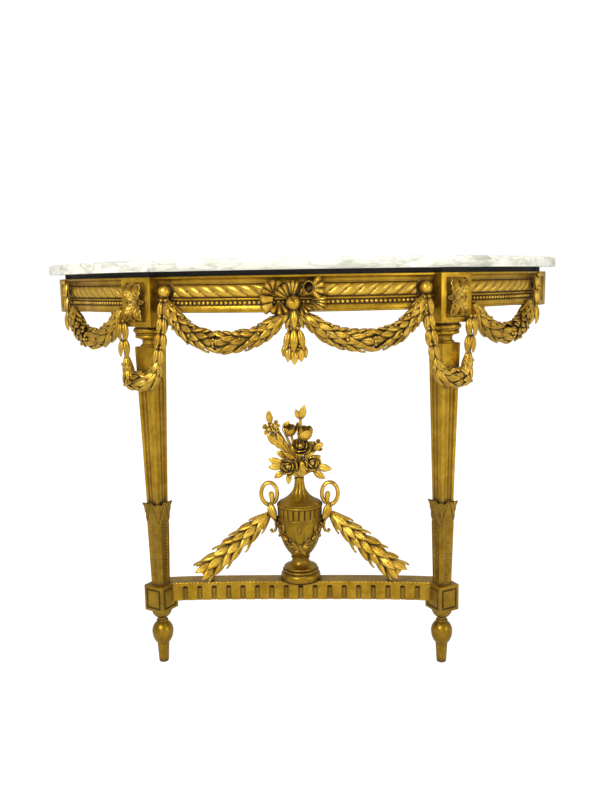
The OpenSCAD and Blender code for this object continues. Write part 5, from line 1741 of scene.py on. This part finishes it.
def hang(u):
    """Height of a hanging curve over its lowest point, as a share of its rise."""
    return (math.cosh(HANG * u) - 1) / (math.cosh(HANG) - 1)


def swag_line(start, end, ends_z):
    """Line of a swag between two turns, with the heights of its ends."""
    def line(t):
        u = 2 * t - 1
        z = mix(SWAG_LOW, ends_z[0] if u < 0 else ends_z[1], hang(u))
        turn = mix(start, end, t)
        return bow_point(turn, SWAG_R, z), way_out(turn), mix(SWAG_END_R, SWAG_MID_R, hump(t, 0.8))
    return line


def swag(name, node, line, seed):
    """One laurel swag with a group of berries at its lowest place."""
    bm = bmesh.new()
    length, at = garland(bm, line, LAUREL, SWAG_STEP, seed)
    berry_group(bm, at, length / 2, SWAG_BERRIES, BERRY_R * BERRY_RING_SHARE)
    finish_piece(name, bm, GARLAND, [node])


def swags():
    """Four laurel swags along the apron."""
    for name, side in SIDES.items():
        line = swag_line(side * BALL_TURN, side * FRONT_SWAG_TURN, FRONT_SWAG_Z)
        swag(f"laurel_{name}_front_swag", f"{name}_front_swag", line, FRONT_SWAG_SEED + side)
        first, last = SIDE_SWAG_TURNS
        line = swag_line(side * first, side * last, SIDE_SWAG_Z)
        swag(f"laurel_{name}_side_swag", f"{name}_side_swag", line, SIDE_SWAG_SEED + side)


COLLAR_LOW = 0.626
COLLAR_END_R = 0.0045
COLLAR_MID_R = 0.0190
COLLAR_STEP = 0.0170
COLLAR_TIP_SHARE = 0.62
COLLAR_MEET_SHARE = 0.47
COLLAR_CHAIN_STEP = 0.033
COLLAR_OUTER_SIZE = 1.05
COLLAR_SEED = 31
LEG_OUT = 0.027
COLLAR_INNER_OUT = 0.0156
COLLAR_INNER_Z = FRIEZE_MID - 0.0104
COLLAR_OUTER = (BLOCK_W / 2 - 0.0052, -BLOCK_W / 2 - 0.0055, BLOCK_BOTTOM + 0.012)
COLLAR_MID = (0.012, -0.0357, COLLAR_LOW)
COLLAR_LEAN_SHARES = (0.5, -0.4)
COLLAR_PARTS = ((0.01, 0.24), (0.22, 0.84), (1, 0.84))


def collar_line(side, first, last):
    """Part of the collar's line: down from the ball, before the leg and up to the block's
    outer corner. The shares first and last say where the part starts and ends."""
    to_ball = math.radians(LEG_TURN - BALL_TURN)
    leg_r = FRIEZE_R + LEG_OUT - BLOCK_W / 2
    inner = Vector((-side * FRIEZE_R * math.sin(to_ball),
                    leg_r - FRIEZE_R * math.cos(to_ball) - COLLAR_INNER_OUT, COLLAR_INNER_Z))
    outer = Vector((side * COLLAR_OUTER[0], *COLLAR_OUTER[1:]))
    mid = Vector((side * COLLAR_MID[0], *COLLAR_MID[1:]))
    place = at_leg(side)

    def line(share):
        t = mix(first, last, share)
        away = abs(2 * t - 1)
        end = inner if t < 0.5 else outer
        at = Vector((mix(mid.x, end.x, away ** 0.4), mix(mid.y, end.y, away), mix(mid.z, end.z, away ** 2.2)))
        out = Vector((at.x * mix(*COLLAR_LEAN_SHARES, t), -BLOCK_W / 2, 0)).normalized()
        return place @ at, place.to_3x3() @ out, mix(COLLAR_END_R, COLLAR_MID_R, hump(t, 3.5))
    return line


def collars():
    """Collar garlands round the leg tops: a chain on each side and a full loop below."""
    for name, side in SIDES.items():
        bm = bmesh.new()
        seed = COLLAR_SEED + side
        inner, loop, outer = [collar_line(side, *part) for part in COLLAR_PARTS]
        chain(bm, inner, SLIM, COLLAR_CHAIN_STEP, seed)
        garland(bm, loop, SMALL, COLLAR_STEP, seed + 2, meet=COLLAR_MEET_SHARE, tip=COLLAR_TIP_SHARE)
        chain(bm, outer, SLIM, COLLAR_CHAIN_STEP, seed + 4, COLLAR_OUTER_SIZE)
        finish_piece(f"laurel_{name}_collar", bm, GARLAND, [f"{name}_collar_garland"])


URN_GARLAND_TOP = (0.066, 0, LID_Z - 0.022)
URN_GARLAND_LOW = (0.214, -0.008, LOWER_BLOCK_TOP + 0.016)
URN_GARLAND_END_R = 0.0060
URN_GARLAND_R = 0.0135
URN_GARLAND_STEP = 0.026
URN_GARLAND_TIP_SHARE = 1.55
URN_GARLAND_SEED = 41


def urn_garland_line(side):
    """Line of a garland from the handle down to the stretcher, soon at its full thickness."""
    x, y, z = URN_GARLAND_TOP
    top = at_urn(side * x, y, z)
    x, y, z = URN_GARLAND_LOW
    low = at_urn(side * x, y, z)

    def line(t):
        at = Vector((mix(top.x, low.x, t), mix(top.y, low.y, t), mix(top.z, low.z, t ** 0.92)))
        radius = mix(URN_GARLAND_END_R, URN_GARLAND_R, math.sin(math.pi / 2 * min(1, t * 1.9)))
        return at, Vector((side * 0.5, -1, 0.6)), radius
    return line


def urn_garlands():
    """Garlands from the handles down to the stretcher."""
    for name, side in SIDES.items():
        bm = bmesh.new()
        garland(bm, urn_garland_line(side), BROAD, URN_GARLAND_STEP, URN_GARLAND_SEED + side,
                turns=BASKET_TURNS, meet=1, tip=URN_GARLAND_TIP_SHARE)
        finish_piece(f"laurel_{name}_urn_garland", bm, ORNAMENT, [f"{name}_urn_garland"])


# Floor, light and camera

CAMERA_AT = (0.0716, -1.7147, 0.8257)
CAMERA_DOWN = 8.45
CAMERA_LEFT = 2.28
CAMERA_ROLL = -0.96
CAMERA_LENS = 36.1
CAMERA_SENSOR = 36


def camera():
    """Camera at the photograph's place."""
    data = bpy.data.cameras.new("camera")
    data.lens = CAMERA_LENS
    data.sensor_width = CAMERA_SENSOR
    eye = bpy.data.objects.new("camera", data)
    turn = Matrix.Rotation(math.radians(CAMERA_LEFT), 4, "Z")
    tip = Matrix.Rotation(math.radians(90 - CAMERA_DOWN), 4, "X")
    roll = Matrix.Rotation(math.radians(CAMERA_ROLL), 4, "Z")
    eye.matrix_world = Matrix.Translation(CAMERA_AT) @ turn @ tip @ roll
    bpy.context.scene.collection.objects.link(eye)
    bpy.context.scene.camera = eye


def seen_white(tree):
    """Share of rays that should meet plain white: the camera's, also through glass."""
    path = tree.nodes.new("ShaderNodeLightPath")
    return figure(tree, "MAXIMUM", path.outputs["Is Camera Ray"], path.outputs["Is Transmission Ray"])


ROOM_LIGHT = [(0.0, grey(0.55)), (0.35, grey(0.42)), (0.75, grey(0.80))]
SIDE_LIGHT = [(0.78, grey(0.0)), (0.95, grey(0.42))]


def world():
    """A soft room, which looks white behind the table."""
    room = bpy.data.worlds.new("room")
    room.use_nodes = True
    bpy.context.scene.world = room
    tree = room.node_tree
    shade = tree.nodes["Background"]
    shade.inputs["Color"].default_value = (1, 1, 1, 1)
    way = tree.nodes.new("ShaderNodeTexCoord").outputs["Generated"]
    parts = tree.nodes.new("ShaderNodeSeparateXYZ")
    tree.links.new(way, parts.inputs[0])
    sky = ramp(tree, parts.outputs["Z"], ROOM_LIGHT)
    sides = ramp(tree, figure(tree, "ABSOLUTE", parts.outputs["X"]), SIDE_LIGHT)
    strength = blend(tree, seen_white(tree), figure(tree, "ADD", sky, sides), grey(1.0))
    tree.links.new(strength, shade.inputs["Strength"])


FLOOR_SIZE = 30
FLOOR_GREY = 0.8
FLOOR_ROUGH = 0.9
FLOOR_GLOW = 1.27
FLOOR_WHITE_SHARE = 0.75


def floor():
    """Pale floor that keeps the table's shadow."""
    bm = bmesh.new()
    bmesh.ops.create_grid(bm, x_segments=1, y_segments=1, size=FLOOR_SIZE)
    mesh = bpy.data.meshes.new("floor")
    bm.to_mesh(mesh)
    bm.free()
    ground = bpy.data.objects.new("floor", mesh)
    bpy.context.scene.collection.objects.link(ground)
    material, tree, shader = new_material("pale_floor")
    shader.inputs["Base Color"].default_value = (*grey(FLOOR_GREY), 1)
    shader.inputs["Roughness"].default_value = FLOOR_ROUGH
    glow = new_node(tree, "ShaderNodeEmission", Strength=FLOOR_GLOW)
    both = tree.nodes.new("ShaderNodeMixShader")
    tree.links.new(scaled(tree, seen_white(tree), FLOOR_WHITE_SHARE), both.inputs["Fac"])
    tree.links.new(shader.outputs["BSDF"], both.inputs[1])
    tree.links.new(glow.outputs["Emission"], both.inputs[2])
    tree.links.new(both.outputs["Shader"], tree.nodes["Material Output"].inputs["Surface"])
    mesh.materials.append(material)


# Lamps as (place, size, power)
LAMPS = {
    "key": ((-1.3, -2.6, 2.4), 0.7, 52),
    "front": ((0.0, -3.0, 0.8), 2.0, 10),
    "fill": ((2.3, -1.7, 1.1), 1.2, 14),
    "top": ((0.3, -0.4, 3.0), 1.2, 26)}
LAMP_AIM = Vector((0, 0, 0.5))


def lamps():
    """Soft lamps that look at the middle of the table."""
    for name, (at, size, power) in LAMPS.items():
        data = bpy.data.lights.new(name, "AREA")
        data.size = size
        data.energy = power
        lamp = bpy.data.objects.new(name, data)
        aimed = (LAMP_AIM - Vector(at)).to_track_quat("-Z", "Y").to_matrix().to_4x4()
        lamp.matrix_world = Matrix.Translation(at) @ aimed
        bpy.context.scene.collection.objects.link(lamp)


bpy.context.scene.view_settings.view_transform = "Standard"
plain_parts()
rails()
apron_ornament()
upper_blocks()
rosettes()
legs()
lower_parts()
stretcher()
urn()
lid()
handles()
bouquet()
bow()
pendant()
tassels()
swags()
collars()
urn_garlands()
floor()
world()
lamps()
camera()
